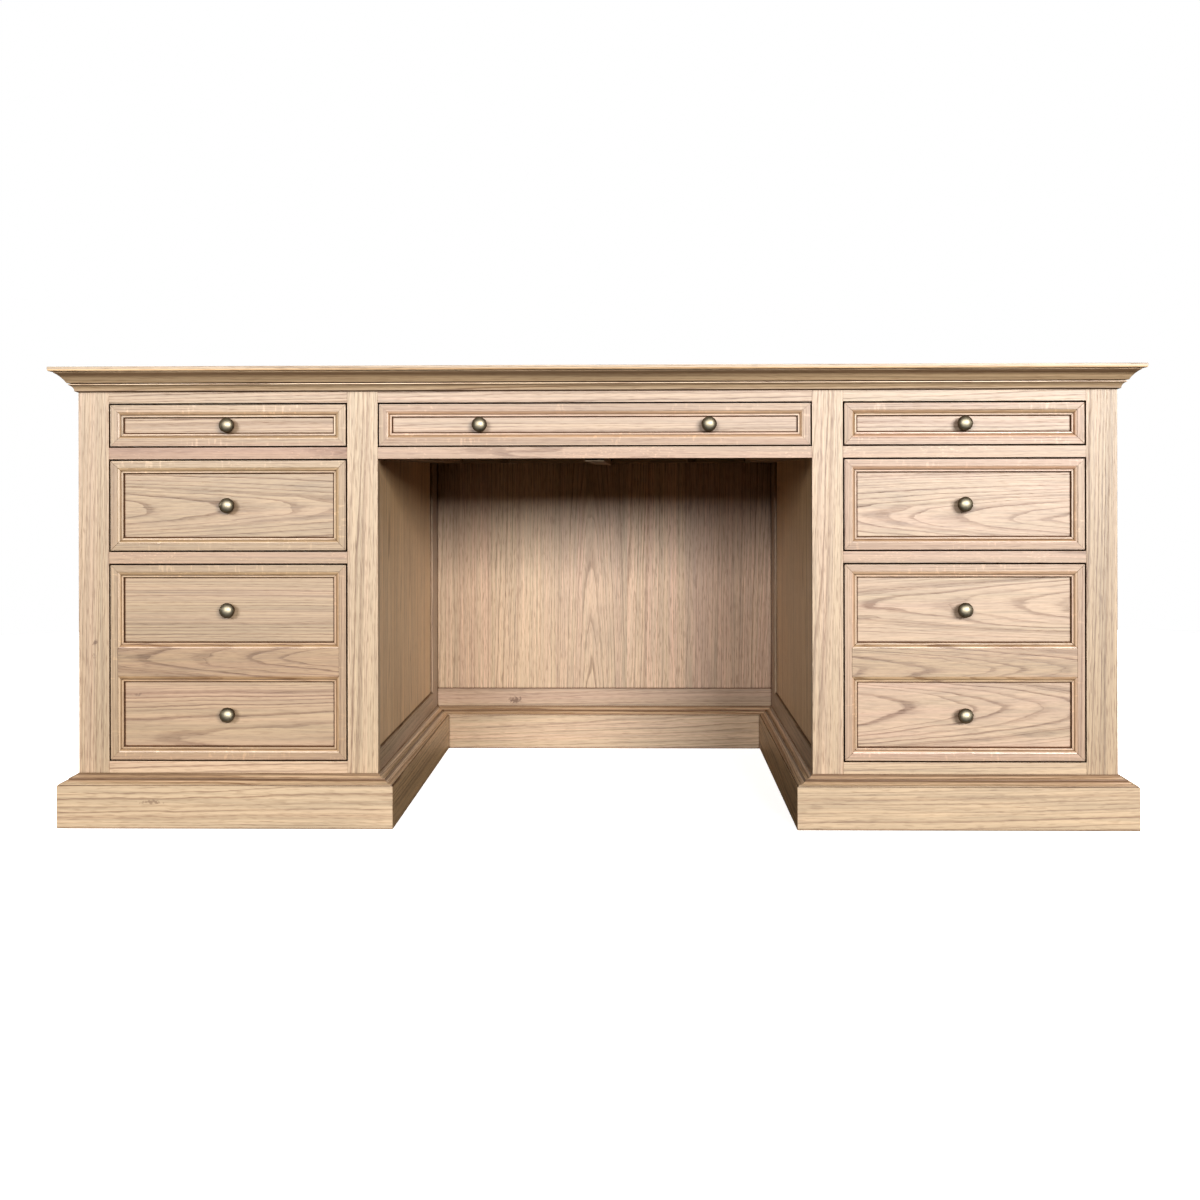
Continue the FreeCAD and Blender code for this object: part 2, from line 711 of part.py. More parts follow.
# The rail between the two panels of a file drawer's front is moulded and rebated on both edges.
MID_RAIL = [
    ("panel_rebate", "0"),
    ("mid_rail_wide - panel_rebate", "0"),
    ("mid_rail_wide - panel_rebate", "front_panel"),
    ("mid_rail_wide", "front_panel"),
    ("mid_rail_wide", "front_panel + mould_lip"),
    ("mid_rail_wide - mould_fillet", "front_panel + mould_lip", "end_plumb"),
    ("mid_rail_wide - frame_mould", "front_thick - mould_quirk"),
    ("mid_rail_wide - frame_mould", "front_thick"),
    ("frame_mould", "front_thick"),
    ("frame_mould", "front_thick - mould_quirk", "start_plumb"),
    ("mould_fillet", "front_panel + mould_lip"),
    ("0", "front_panel + mould_lip"),
    ("0", "front_panel"),
    ("panel_rebate", "front_panel"),
]


def knob(name, x, z):
    """A turned brass knob with its own stud, and the nut that holds it behind the drawer's inner front."""
    body = turned(name, [
        ("0", "-stud_long"),
        ("stud_dia / 2", "-stud_long"),
        ("stud_dia / 2", "0"),
        ("knob_foot_dia / 2", "0"),
        ("knob_foot_dia / 2", "knob_foot", "end_level"),
        ("knob_neck_dia / 2", "knob_neck", "end_level"),
        ("knob_dia / 2", "knob_waist", "end_plumb"),
        ("0", "knob_out"),
    ], (x, "panel_face", z), FreeCAD.Rotation(Z, 180))
    hexagon = doc.addObject("Part::Prism", name + "_nut_blank")
    hexagon.Polygon = 6
    bind(hexagon, "Circumradius", "nut_dia / 2")
    bind(hexagon, "Height", "nut_thick")
    set_at(hexagon, (x, "front_back + box_board", z), FreeCAD.Rotation(X, -90))
    bore = rod(name + "_nut_bore", (x, "front_back + box_board", z), "stud_dia / 2 + stud_play", "nut_thick")
    return [body, without(name + "_nut", hexagon, [bore])]


def stud_hole(name, x, y, z, length):
    return rod(name, (x, y, z), "stud_dia / 2 + stud_play", length)


def drawer_front(name, centre, wide, low, high, stacked, knob_xs):
    """A mitred frame with one sunk panel, or with two panels and a rail between them."""
    left = "%s - %s / 2" % (centre, wide)
    right = "%s + %s / 2" % (centre, wide)
    top = "%s + %s" % (low, high)
    sides = (
        ("bottom", (left, low), wide, (X, Z, -Y), ("+", "0")),
        ("right", (right, low), high, (Z, -X, -Y), ("0", "+")),
        ("top", (right, top), wide, (-X, -Z, -Y), ("-", "0")),
        ("left", (left, top), high, (-Z, X, -Y), ("0", "-")),
    )
    pieces = []
    for edge, (x, z), length, axes, (x_sign, z_sign) in sides:
        trimmed = "%s - joint_gap" % length
        notches = [mitre("member_wide", trimmed, False, False), mitre("member_wide", trimmed, True, False)]
        if stacked and edge in ("left", "right"):
            middle = "(%s) / 2" % trimmed
            half = "mid_rail_flat / 2"
            notches.append([(middle + " - " + half, "frame_flat"),
                            (middle + " + " + half, "frame_flat"),
                            (middle + " + " + half + " + frame_mould", "member_wide"),
                            (middle + " - " + half + " - frame_mould", "member_wide")])
        corner = [x, "front_back", z]
        for axis, sign in ((0, x_sign), (2, z_sign)):
            if sign != "0":
                corner[axis] += " %s joint_gap / 2" % sign
        pieces.append(section_bar("%s_%s_member" % (name, edge), MEMBER, trimmed, corner, axes, notches))

    covered = "2 * (member_wide - panel_rebate) + 2 * joint_gap"
    panel_x = left + " + member_wide - panel_rebate + joint_gap"
    panel_wide = "%s - (%s)" % (wide, covered)
    panel_z = low + " + member_wide - panel_rebate + joint_gap"
    if stacked:
        rail_low = "%s + (%s - mid_rail_wide) / 2" % (low, high)
        rail_long = "%s - 2 * frame_flat - 2 * joint_gap" % wide
        tips = []
        for at_end in (False, True):
            tip = "(%s)" % rail_long if at_end else "0"
            inner = tip + " - frame_mould" if at_end else "frame_mould"
            tips.append([(tip, "0"), (inner, "0"), (tip, "frame_mould")])
            tips.append([(tip, "mid_rail_wide"), (inner, "mid_rail_wide"),
                         (tip, "mid_rail_wide - frame_mould")])
        pieces.append(section_bar(name + "_mid_rail", MID_RAIL, rail_long,
                                  (left + " + frame_flat + joint_gap", "front_back", rail_low),
                                  (X, Z, -Y), tips))
        panel_high = "(%s - mid_rail_wide) / 2 - member_wide + 2 * panel_rebate - 2 * joint_gap" % high
        upper_z = rail_low + " + mid_rail_wide - panel_rebate + joint_gap"
        panels = [("lower", panel_z, panel_high), ("upper", upper_z, panel_high)]
    else:
        panels = [("sunk", panel_z, "%s - (%s)" % (high, covered))]

    knob_places = []
    for label, z, tall in panels:
        sheet = board("%s_%s_panel_blank" % (name, label), (panel_x, "panel_face", z),
                      (panel_wide, "front_panel", tall))
        middle = "%s + (%s) / 2" % (z, tall)
        holes = []
        for count, knob_x in enumerate(knob_xs, start=1):
            knob_places.append((knob_x, middle))
            holes.append(stud_hole("%s_%s_hole_%d" % (name, label, count), knob_x, "panel_face", middle,
                                   "front_panel"))
        pieces.append(without("%s_%s_panel" % (name, label), sheet, holes))
    node(name + "_front", pieces)
    return knob_places


def dovetailed_side(name, x, low, high, long, thick, tails, slack):
    """A drawer side with dovetails cut on its front end, between half pins at its two edges."""
    narrow = "(pin_narrow / 2 - %s)" % slack
    wide = "((pin_narrow + pin_flare) / 2 - %s)" % slack
    corners = [("box_board", "0"), (long, "0"), (long, high), ("box_board", high)]
    for count in range(tails, -1, -1):
        line = "%s * %d / %d" % (high, count, tails)
        if count < tails:
            corners += [("0", "%s + %s" % (line, narrow)), ("box_board", "%s + %s" % (line, wide))]
        if count > 0:
            corners += [("box_board", "%s - %s" % (line, wide)), ("0", "%s - %s" % (line, narrow))]
    return section_bar(name, corners, thick, (x, "front_back", low), (X, Y, Z))


def drawer_box(name, centre, wide, low, high, long, tails, knob_places):
    """Two sides dovetailed to an inner front, a back, and a thin bottom in grooves that runs under it."""
    left = "%s - %s / 2" % (centre, wide)
    groove_z = "%s + groove_up - joint_gap" % low
    groove_high = "box_bottom + 2 * joint_gap"
    inside = "%s - 2 * box_board - 2 * joint_gap" % wide
    inside_x = left + " + box_board + joint_gap"
    groove_x = left + " + box_board - groove_deep - joint_gap"
    groove_wide = "%s - 2 * box_board + 2 * groove_deep + 2 * joint_gap" % wide
    groove_y = "front_back + box_board - groove_deep - joint_gap"

    pieces = []
    sockets = []
    for hand, x, slack_x in (("left", left, left),
                             ("right", "%s + %s / 2 - box_board" % (centre, wide),
                              "%s + %s / 2 - box_board - joint_gap" % (centre, wide))):
        blank = dovetailed_side("%s_%s_side_blank" % (name, hand), x, low, high, long,
                                "box_board", tails, "0")
        sockets.append(dovetailed_side("%s_%s_sockets" % (name, hand), slack_x, low, high, long,
                                       "box_board + joint_gap", tails, "joint_gap"))
        groove = board("%s_%s_groove" % (name, hand), (groove_x, groove_y, groove_z),
                       (groove_wide, long, groove_high))
        pieces.append(without("%s_%s_side" % (name, hand), blank, [groove]))
    blank = board(name + "_inner_front_blank", (left, "front_back", low), (wide, "box_board", high))
    cuts = sockets + [board(name + "_front_groove", (groove_x, groove_y, groove_z),
                            (groove_wide, "box_board", groove_high))]
    for count, (x, z) in enumerate(knob_places, start=1):
        cuts.append(stud_hole("%s_inner_hole_%d" % (name, count), x, "front_back", z, "box_board"))
    pieces.append(without(name + "_inner_front", blank, cuts))
    lift = "groove_up + box_bottom + joint_gap"
    pieces.append(board(name + "_back",
                        (inside_x, "front_back + %s - box_board" % long, "%s + %s" % (low, lift)),
                        (inside, "box_board", "%s - (%s)" % (high, lift))))
    pieces.append(board(name + "_bottom", (groove_x + " + joint_gap", groove_y + " + joint_gap",
                                           groove_z + " + joint_gap"),
                        (groove_wide + " - 2 * joint_gap",
                         long + " - box_board + groove_deep - joint_gap", "box_bottom")))
    node(name + "_box", pieces)


def drawer(name, centre, opening, low, high, box, tails, stacked=False, knob_xs=None):
    """A drawer that fills one opening: its front, its knobs and its box."""
    show_wide = "(%s - 2 * drawer_gap)" % opening
    show_high = "(%s - 2 * drawer_gap)" % high
    knob_places = drawer_front(name, centre, show_wide, "%s + drawer_gap" % low, show_high, stacked,
                               knob_xs or [centre])
    knobs = []
    for count, (x, z) in enumerate(knob_places, start=1):
        knobs.extend(knob("%s_knob_%d" % (name, count), x, z))
    node(name + ("_knobs" if len(knob_places) > 1 else "_knob"), knobs)
    drawer_box(name, centre, *box, tails, knob_places)


def wooden_box(opening, low, high):
    """Width, low edge, height and length of a box that slides on wooden runners."""
    return "(%s - 2 * side_play)" % opening, low + " + run_gap", "(%s - box_drop)" % high, "box_long"


for side, centre in (("left", "-pedestal_mid"), ("right", "pedestal_mid")):
    drawer(side + "_top_drawer", centre, "opening_wide", "shallow_low", "shallow_opening",
           wooden_box("opening_wide", "shallow_low", "shallow_opening"), tails=2)
    drawer(side + "_middle_drawer", centre, "opening_wide", "middle_low", "middle_opening",
           wooden_box("opening_wide", "middle_low", "middle_opening"), tails=4)
    drawer(side + "_file_drawer", centre, "opening_wide", "base_rail_top", "deep_opening",
           ("(opening_wide - 2 * slide_thick)", "base_rail_top + file_box_up", "file_box_high",
            "file_box_long"),
           tails=6, stacked=True)
drawer("centre_drawer", "0 * knee_x", "knee_width", "shallow_low", "shallow_opening",
       wooden_box("knee_width", "shallow_low", "shallow_opening"), tails=2,
       knob_xs=["-centre_knobs_apart / 2", "centre_knobs_apart / 2"])


def channel(high):
    """Section of a slide member: a web, with a flange at its top and bottom, centred on its height."""
    half = "%s / 2" % high
    lip = "%s / 2 - slide_wall" % high
    return [
        ("0", "-" + half),
        ("slide_wall + slide_flange", "-" + half),
        ("slide_wall + slide_flange", "-(%s)" % lip),
        ("slide_wall", "-(%s)" % lip),
        ("slide_wall", lip),
        ("slide_wall + slide_flange", lip),
        ("slide_wall + slide_flange", half),
        ("0", half),
    ]


# Telescopic slides: the outer member is on the packer, the middle one runs in it, and the inner one, turned
# the other way round, is on the drawer's side and runs in the middle one.
outer_members = []
for side, centre in (("left", "-pedestal_mid"), ("right", "pedestal_mid")):
    members = {"outer": [], "middle": [], "inner": []}
    for hand, sign in (("left", "-"), ("right", "+")):
        towards = X if hand == "left" else -X
        back = "+" if hand == "left" else "-"
        edge = "%s %s opening_wide / 2" % (centre, sign)
        layout = (
            ("outer", "slide_high", edge, towards),
            ("middle", "middle_slide_high", "%s %s (slide_wall + slide_play)" % (edge, back), towards),
            ("inner", "inner_slide_high", "%s %s slide_thick" % (edge, back), -towards),
        )
        for kind, high, x, opens in layout:
            members[kind].append(section_bar(
                "%s_%s_%s_slide" % (side, hand, kind), channel(high), "slide_long",
                (x, "frame_back", "slide_mid"), (Y, opens, Y.cross(opens))))
    outer_members.extend(members["outer"])
    node(side + "_file_slide_middle", members["middle"])
    node(side + "_file_slide_inner", members["inner"])
node("file_slide_outers", outer_members)

doc.recompute()

for item in doc.Objects:
    if "Invalid" in item.State or "Error" in item.State:
        raise RuntimeError("%s did not build: %s" % (item.Name, item.State))
for pad, pocket in pockets:
    if not pocket.Shape.Volume < pad.Shape.Volume:
        raise RuntimeError("%s cuts nothing" % pocket.Name)
for part in nodes:
    if part.Shape.isNull() or not part.Shape.isValid() or not part.Shape.Solids:
        raise RuntimeError("%s has no valid solid" % part.Label)

os.makedirs("parts", exist_ok=True)
for part in nodes:
    part.Shape.exportStep("parts/%s.step" % part.Label)
print(len(nodes), "nodes,", sum(len(part.Shape.Solids) for part in nodes), "solids")
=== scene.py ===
import json
import math
import random

import bmesh
import bpy
from mathutils import Matrix, Vector

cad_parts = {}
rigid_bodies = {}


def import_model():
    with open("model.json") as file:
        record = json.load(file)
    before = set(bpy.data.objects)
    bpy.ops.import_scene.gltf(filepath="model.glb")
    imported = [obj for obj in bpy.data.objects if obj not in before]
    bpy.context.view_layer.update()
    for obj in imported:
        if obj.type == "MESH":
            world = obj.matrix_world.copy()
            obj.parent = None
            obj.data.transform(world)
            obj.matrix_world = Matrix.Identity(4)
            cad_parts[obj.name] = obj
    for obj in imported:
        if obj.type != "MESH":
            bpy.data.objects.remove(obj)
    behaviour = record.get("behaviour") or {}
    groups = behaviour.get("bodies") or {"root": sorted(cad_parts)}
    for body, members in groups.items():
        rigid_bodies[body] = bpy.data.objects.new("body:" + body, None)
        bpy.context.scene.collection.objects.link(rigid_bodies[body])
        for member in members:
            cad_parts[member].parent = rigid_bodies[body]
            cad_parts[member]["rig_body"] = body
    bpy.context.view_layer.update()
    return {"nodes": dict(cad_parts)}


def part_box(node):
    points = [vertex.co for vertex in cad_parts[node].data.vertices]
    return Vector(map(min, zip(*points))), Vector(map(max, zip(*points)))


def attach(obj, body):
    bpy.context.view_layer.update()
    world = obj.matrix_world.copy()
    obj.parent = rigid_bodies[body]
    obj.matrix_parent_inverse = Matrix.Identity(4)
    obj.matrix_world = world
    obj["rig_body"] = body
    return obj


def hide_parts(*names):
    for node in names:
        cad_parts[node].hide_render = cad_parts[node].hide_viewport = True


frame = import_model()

# Stiles: the four full-height uprights of the face frame, planed from straight oak.
# The rails are glued between them, and each foot stands behind the base moulding.
# Every oak board carries its own grain, as if sawn from a log of its own.
X, Y, Z = 0, 1, 2
MERGE_GAP = 0.00002
FLAT_ANGLE = math.radians(0.5)
SHARP_ANGLE = math.radians(24)
CREASE_ANGLE = math.radians(50)
ARRIS = 0.0004
SQUARE_ON = 0.9
ROSE_SPREAD = 0.14
# Arrises are lightened a little, partly for wear and partly as a painted highlight; no face is painted lighter
# than the most.
ARRIS_WEAR_AND_HIGHLIGHT, MOST_PAINTED_LIGHT = 1, 4


def grain(cut, tone=1.0, rose=0.35, along=None, spread=0.03, dash=0.3, fine=1.0):
    """How a board is sawn and coloured.

    tone is its lightness and spread how far that varies, rose its pinkness or, below zero, its honey colour,
    along its grain axis, dash the strength of its short dark flecks, which break up its rings, and fine the
    closeness of the rings. Only quarter-sawn boards show the pale flecks of the rays.
    """
    return {"cut": cut, "tone": tone, "rose": rose, "along": along, "spread": spread, "dash": dash,
            "fine": fine}


def clean_copy(node):
    """The boards of a CAD node, with their triangles merged into whole faces."""
    bm = bmesh.new()
    bm.from_mesh(frame["nodes"][node].data)
    bmesh.ops.remove_doubles(bm, verts=bm.verts, dist=MERGE_GAP)
    bmesh.ops.dissolve_limit(bm, angle_limit=FLAT_ANGLE, verts=bm.verts, edges=bm.edges)
    return bm


def loose_boards(bm):
    """The faces of each separate board in a mesh."""
    boards = []
    seen = set()
    for first in bm.faces:
        if first in seen:
            continue
        seen.add(first)
        board = [first]
        for face in board:
            for edge in face.edges:
                for other in edge.link_faces:
                    if other not in seen:
                        seen.add(other)
                        board.append(other)
        boards.append(board)
    return boards


def corners_of(faces):
    """Lowest and highest corner of some faces."""
    places = [vert.co for face in faces for vert in face.verts]
    low = Vector([min(place[axis] for place in places) for axis in (X, Y, Z)])
    high = Vector([max(place[axis] for place in places) for axis in (X, Y, Z)])
    return low, high


def saw_across(bm, geom, axis, place):
    """Cuts some of a mesh square to an axis, at a place along it."""
    middle = Vector([place if step == axis else 0 for step in (X, Y, Z)])
    across = Vector([step == axis for step in (X, Y, Z)])
    bmesh.ops.bisect_plane(bm, geom=geom, plane_co=middle, plane_no=across)


def pith_of(cut, wide, draw):
    """Where the heart of the log lies beside and behind a board, and how far the board leans along it."""
    side = draw.choice((-1, 1))
    edge = wide / 2
    if cut == "flat":
        return draw.uniform(-0.3, 0.3) * wide, draw.uniform(0.03, 0.065), side * draw.uniform(0.03, 0.07)
    if cut == "plain":
        return side * draw.uniform(0.03, 0.1), draw.uniform(0.04, 0.09), side * draw.uniform(0.01, 0.03)
    if cut == "quarter":
        return side * (edge + draw.uniform(0.07, 0.12)), draw.uniform(-0.012, 0.012), side * 0.008
    return side * (edge + draw.uniform(0.0, 0.03)), draw.uniform(0.04, 0.08), side * draw.uniform(0.008, 0.02)


def lay_grain(bm, faces, plan, draw, wear_light_and_shade):
    """Writes a board's place in its log, its own shade of colour, its wear with painted light and shade, end
    grain and rays onto its faces.
    """
    log = bm.loops.layers.float_vector["log"]
    shade = bm.faces.layers.float_vector["shade"]
    surface = bm.faces.layers.float_vector["surface"]
    low, high = corners_of(faces)
    size = high - low
    thin, wide, long = sorted((X, Y, Z), key=lambda axis: size[axis])
    if plan["along"] == wide:
        wide, long = long, wide
    beside, behind, lean = pith_of(plan["cut"], size[wide], draw)
    drift = draw.uniform(-0.012, 0.012)
    start = draw.uniform(0, 30)
    ring_scale = draw.uniform(0.85, 1.2) * plan["fine"]
    middle = (low + high) / 2
    spread = plan["spread"]
    tone = plan["tone"] * draw.uniform(1 - spread, 1 + spread)
    tint = (tone, plan["rose"] + draw.uniform(-ROSE_SPREAD, ROSE_SPREAD), plan["dash"])
    for face in faces:
        for corner in face.loops:
            place = corner.vert.co - middle
            corner[log] = (start + place[long],
                           ring_scale * (place[wide] - beside - drift * place[long]),
                           ring_scale * (place[thin] - behind - lean * place[long]))
        face[shade] = tint
        face[surface] = (wear_light_and_shade[face], abs(face.normal[long]) > SQUARE_ON, plan["cut"] == "quarter")


def place_piece(node, bm, finish):
    """Makes the mesh a piece that stands for a CAD node and moves with the node's body."""
    for face in bm.faces:
        face.smooth = True
    mesh = bpy.data.meshes.new(node + "_finished")
    bm.to_mesh(mesh)
    bm.free()
    mesh.set_sharp_from_angle(angle=CREASE_ANGLE)
    mesh.materials.append(finish)
    piece = bpy.data.objects.new(node + "_finished", mesh)
    bpy.context.scene.collection.objects.link(piece)
    flats = piece.modifiers.new("true_flats", "WEIGHTED_NORMAL")
    flats.keep_sharp = True
    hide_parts(node)
    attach(piece, frame["nodes"][node]["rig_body"])


def dress(node, finish, plan, round_over=ARRIS, joints=(), joint_axis=X, painted_light_and_shade=None, scribe=None):
    """Copies a CAD node, eases its arrises, lays the grain of each board and puts the copy in its place.

    plan is one grain for all boards, or a function that gives a board's grain from its low and high corner.
    joints are the places along joint_axis where the node is glued up from narrower staves.
    painted_light_and_shade is a function that gives how far a face is painted lighter or, below zero, painted
    darker with shade.
    scribe is a function that cuts faces of the copy, so that painted_light_and_shade can treat their parts
    apart.
    """
    bm = clean_copy(node)
    if scribe:
        scribe(bm)
    for place in joints:
        saw_across(bm, bm.verts[:] + bm.edges[:] + bm.faces[:], joint_axis, place)
    sharp = [edge for edge in bm.edges if edge.calc_face_angle(0) > SHARP_ANGLE]
    eased = bmesh.ops.bevel(bm, geom=sharp, offset=round_over, segments=2, profile=0.5, affect="EDGES",
                            clamp_overlap=True, material=-1)
    bm.loops.layers.float_vector.new("log")
    bm.faces.layers.float_vector.new("shade")
    bm.faces.layers.float_vector.new("surface")
    bm.normal_update()
    # Each face is lightened by painted light or darkened by painted shade, as the given function says, and the
    # eased arrises by wear and a painted highlight.
    wear_light_and_shade = {face: painted_light_and_shade(face) if painted_light_and_shade else 0 for face in bm.faces}
    wear_light_and_shade.update({face: ARRIS_WEAR_AND_HIGHLIGHT for face in eased["faces"]})
    draw = random.Random(node)
    for board in loose_boards(bm):
        staves = {}
        for face in board:
            centre = face.calc_center_median()[joint_axis]
            staves.setdefault(sum(centre > place for place in joints), []).append(face)
        for order in sorted(staves):
            low, high = corners_of(staves[order])
            chosen = plan(low, high) if callable(plan) else plan
            lay_grain(bm, staves[order], chosen, draw, wear_light_and_shade)
    place_piece(node, bm, finish)


def plug(tree, kind, sockets, **settings):
    """Adds a shader node, whose sockets take numbers, colours or the outputs of other nodes."""
    made = tree.nodes.new("ShaderNode" + kind)
    for name, value in settings.items():
        setattr(made, name, value)
    for name, value in sockets.items():
        if isinstance(value, bpy.types.NodeSocket):
            tree.links.new(value, made.inputs[name])
        else:
            made.inputs[name].default_value = value
    return made


def maths(tree, operation, *values):
    """One sum of the values."""
    return plug(tree, "Math", dict(enumerate(values)), operation=operation).outputs[0]


def vector_maths(tree, operation, *values):
    """One sum of the vectors."""
    return plug(tree, "VectorMath", dict(enumerate(values)), operation=operation).outputs[0]


def stretched(tree, place, along, across):
    """The place in the log, with the pattern drawn out along the grain."""
    return vector_maths(tree, "MULTIPLY", place, (along, across, across))


def length_of(tree, vector):
    """How long a vector is."""
    return plug(tree, "VectorMath", {0: vector}, operation="LENGTH").outputs["Value"]


def noise(tree, place, detail=2.0, roughness=0.5):
    """A noise node at a place that is already scaled."""
    return plug(tree, "TexNoise", {"Vector": place, "Scale": 1.0, "Detail": detail, "Roughness": roughness})


def ranged(tree, value, low, high, out_low=0.0, out_high=1.0):
    """The value, taken from one range to another and held there."""
    return plug(tree, "MapRange", {0: value, 1: low, 2: high, 3: out_low, 4: out_high}).outputs[0]


def mixed(tree, share, first, second, blend="MIX"):
    """Two colours, mixed."""
    return plug(tree, "Mix", {0: share, 6: first, 7: second}, data_type="RGBA", blend_type=blend).outputs[2]


def separate(tree, vector):
    """The three parts of a vector."""
    return plug(tree, "SeparateXYZ", {0: vector}).outputs


def painted(tree, name):
    """What is written on the piece under a name."""
    return plug(tree, "Attribute", {}, attribute_name=name).outputs["Vector"]


RING_WAVES = ((2.0, 15.0, 0.010), (9.0, 60.0, 0.0028), (32.0, 90.0, 0.0012))
RINGS_A_METRE = 185.0
RING_SHADES = ((0.12, 0.95), (0.26, 0.3), (0.5, 0.03), (0.95, 0.05))
WHITE = (1, 1, 1, 1)


def growth_rings(tree, log):
    """The rings of the log, each dark where it starts, and the place in the log with its waves."""
    bent = log
    for along, across, reach in RING_WAVES:
        sway = noise(tree, stretched(tree, log, along, across)).outputs["Color"]
        centred = vector_maths(tree, "SUBTRACT", sway, (0.5, 0.5, 0.5))
        bent = vector_maths(tree, "MULTIPLY_ADD", centred, (0, reach, reach), bent)
    radius = length_of(tree, stretched(tree, bent, 0, 1))
    uneven = plug(tree, "TexNoise", {"W": maths(tree, "MULTIPLY", radius, 70.0), "Scale": 1.0},
                  noise_dimensions="1D").outputs[0]
    rings = maths(tree, "MULTIPLY_ADD", radius, RINGS_A_METRE, maths(tree, "MULTIPLY", uneven, 3.0))
    ramp = plug(tree, "ValToRGB", {0: maths(tree, "FRACT", rings)})
    bands = ramp.color_ramp.elements
    bands[0].position, bands[0].color = 0.0, WHITE
    bands[1].position, bands[1].color = 1.0, WHITE
    for position, level in RING_SHADES:
        bands.new(position).color = (level, level, level, 1)
    order = maths(tree, "FLOOR", rings)
    year = plug(tree, "TexWhiteNoise", {"W": order}, noise_dimensions="1D").outputs["Value"]
    fade = ranged(tree, noise(tree, stretched(tree, log, 1.1, 22.0)).outputs[0], 0.3, 0.7, 0.5, 1.0)
    strength = maths(tree, "MULTIPLY", fade, ranged(tree, year, 0.0, 1.0, 0.45, 1.0))
    return maths(tree, "MULTIPLY", ramp.outputs[0], strength), bent, radius


def ray_flecks(tree, bent, radius):
    """Pale flecks where a saw cut runs along the rays of the log."""
    part = separate(tree, bent)
    turn = maths(tree, "ARCTAN2", part["Z"], part["Y"])
    place = plug(tree, "CombineXYZ", {"X": maths(tree, "MULTIPLY", part["X"], 190.0),
                                      "Y": maths(tree, "MULTIPLY", radius, 28.0),
                                      "Z": maths(tree, "MULTIPLY", turn, 40.0)}).outputs[0]
    cluster = ranged(tree, noise(tree, stretched(tree, bent, 9.0, 6.0)).outputs[0], 0.42, 0.58)
    return maths(tree, "MULTIPLY", ranged(tree, noise(tree, place, 1.0).outputs[0], 0.6, 0.68), cluster)


# How often each mark comes in a metre of oak, along and across the grain.
PORES, DASHES = (45.0, 700.0), (38.0, 470.0)
STREAKS, STRIPES, CLOUDS = (1.6, 210.0), (0.7, 48.0), (1.4, 9.0)


def sawn_pattern(tree, log, surface):
    """What a saw cut shows of the log: rings, rays, pores, dashes, streaks, stripes and clouds."""
    early, bent, radius = growth_rings(tree, log)
    vessels = noise(tree, stretched(tree, log, *PORES), 1.0).outputs[0]
    open_where = maths(tree, "MULTIPLY_ADD", early, 0.8, 0.2)
    return {
        "early": early,
        "rays": maths(tree, "MULTIPLY", ray_flecks(tree, bent, radius), surface["Z"]),
        "pores": maths(tree, "MULTIPLY", ranged(tree, vessels, 0.52, 0.68), open_where),
        "dashes": ranged(tree, noise(tree, stretched(tree, bent, *DASHES), 1.0).outputs[0], 0.54, 0.66),
        "streak": noise(tree, stretched(tree, log, *STREAKS), 3.0, 0.6).outputs[0],
        "stripe": noise(tree, stretched(tree, bent, *STRIPES)).outputs[0],
        "cloud": noise(tree, stretched(tree, log, *CLOUDS)).outputs[0],
    }


RAY_LIGHT = (1.3, 1.3, 1.28, 1)


def board_colour(tree, shade, pattern, tints, figure):
    """A board's own colour, darker boards browner, with its rings, pores, dashes and rays."""
    blush = maths(tree, "MULTIPLY_ADD", pattern["stripe"], 1.2, maths(tree, "SUBTRACT", shade["Y"], 0.6))
    golden = maths(tree, "MULTIPLY", shade["Y"], -1.0)
    brown = maths(tree, "MINIMUM", shade["X"], 1.0)
    depth = plug(tree, "CombineXYZ", {
        "X": shade["X"],
        "Y": maths(tree, "MULTIPLY", shade["X"], maths(tree, "POWER", brown, 0.5)),
        "Z": maths(tree, "MULTIPLY", shade["X"], maths(tree, "POWER", brown, 1.2))}).outputs[0]
    colour = mixed(tree, golden, mixed(tree, blush, tints["straw"], tints["rose"]), tints["honey"])
    colour = mixed(tree, 1.0, colour, depth, "MULTIPLY")
    whole = maths(tree, "MULTIPLY_ADD", shade["Z"], -0.5 * figure, 1.15 * figure)
    colour = mixed(tree, maths(tree, "MULTIPLY", pattern["early"], whole), colour, tints["line"], "MULTIPLY")
    colour = mixed(tree, maths(tree, "MULTIPLY", pattern["pores"], 0.6), colour, tints["pore"], "MULTIPLY")
    dashes = maths(tree, "MULTIPLY", pattern["dashes"], shade["Z"])
    colour = mixed(tree, dashes, colour, tints["pore"], "MULTIPLY")
    return mixed(tree, maths(tree, "MULTIPLY", pattern["rays"], 0.9), colour, RAY_LIGHT, "MULTIPLY")


def board_light(tree, surface, pattern):
    """How light each place is: streaks and clouds along the board, dark end grain, and faces painted paler,
    partly for wear and partly as painted light.
    """
    clouded = maths(tree, "MULTIPLY_ADD", pattern["cloud"], 0.28, 0.305)
    light = maths(tree, "MULTIPLY_ADD", pattern["streak"], 0.9, clouded)
    light = maths(tree, "MULTIPLY_ADD", pattern["stripe"], 0.22, light)
    light = maths(tree, "MULTIPLY", light, ranged(tree, surface["Y"], 0, 1, 1.0, 0.74))
    return maths(tree, "MULTIPLY", light, ranged(tree, surface["X"], 0, MOST_PAINTED_LIGHT, 1.0, 1.8))


def knots_and_stains(tree, marks):
    """Small broken dark marks, each given by its place on the desk, its half size and its depth of colour."""
    place = plug(tree, "TexCoord", {}).outputs["Object"]
    crumbs = plug(tree, "TexNoise", {"Vector": place, "Scale": 230.0, "Detail": 2.0}).outputs[0]
    wobble = maths(tree, "MULTIPLY_ADD", crumbs, 3.4, -1.6)
    total = 0.0
    for middle, reach, depth in marks:
        offset = vector_maths(tree, "DIVIDE", vector_maths(tree, "SUBTRACT", place, middle), reach)
        distance = maths(tree, "ADD", length_of(tree, offset), wobble)
        total = maths(tree, "ADD", ranged(tree, distance, 0.6, 1.3, depth, 0.0), total)
    return total


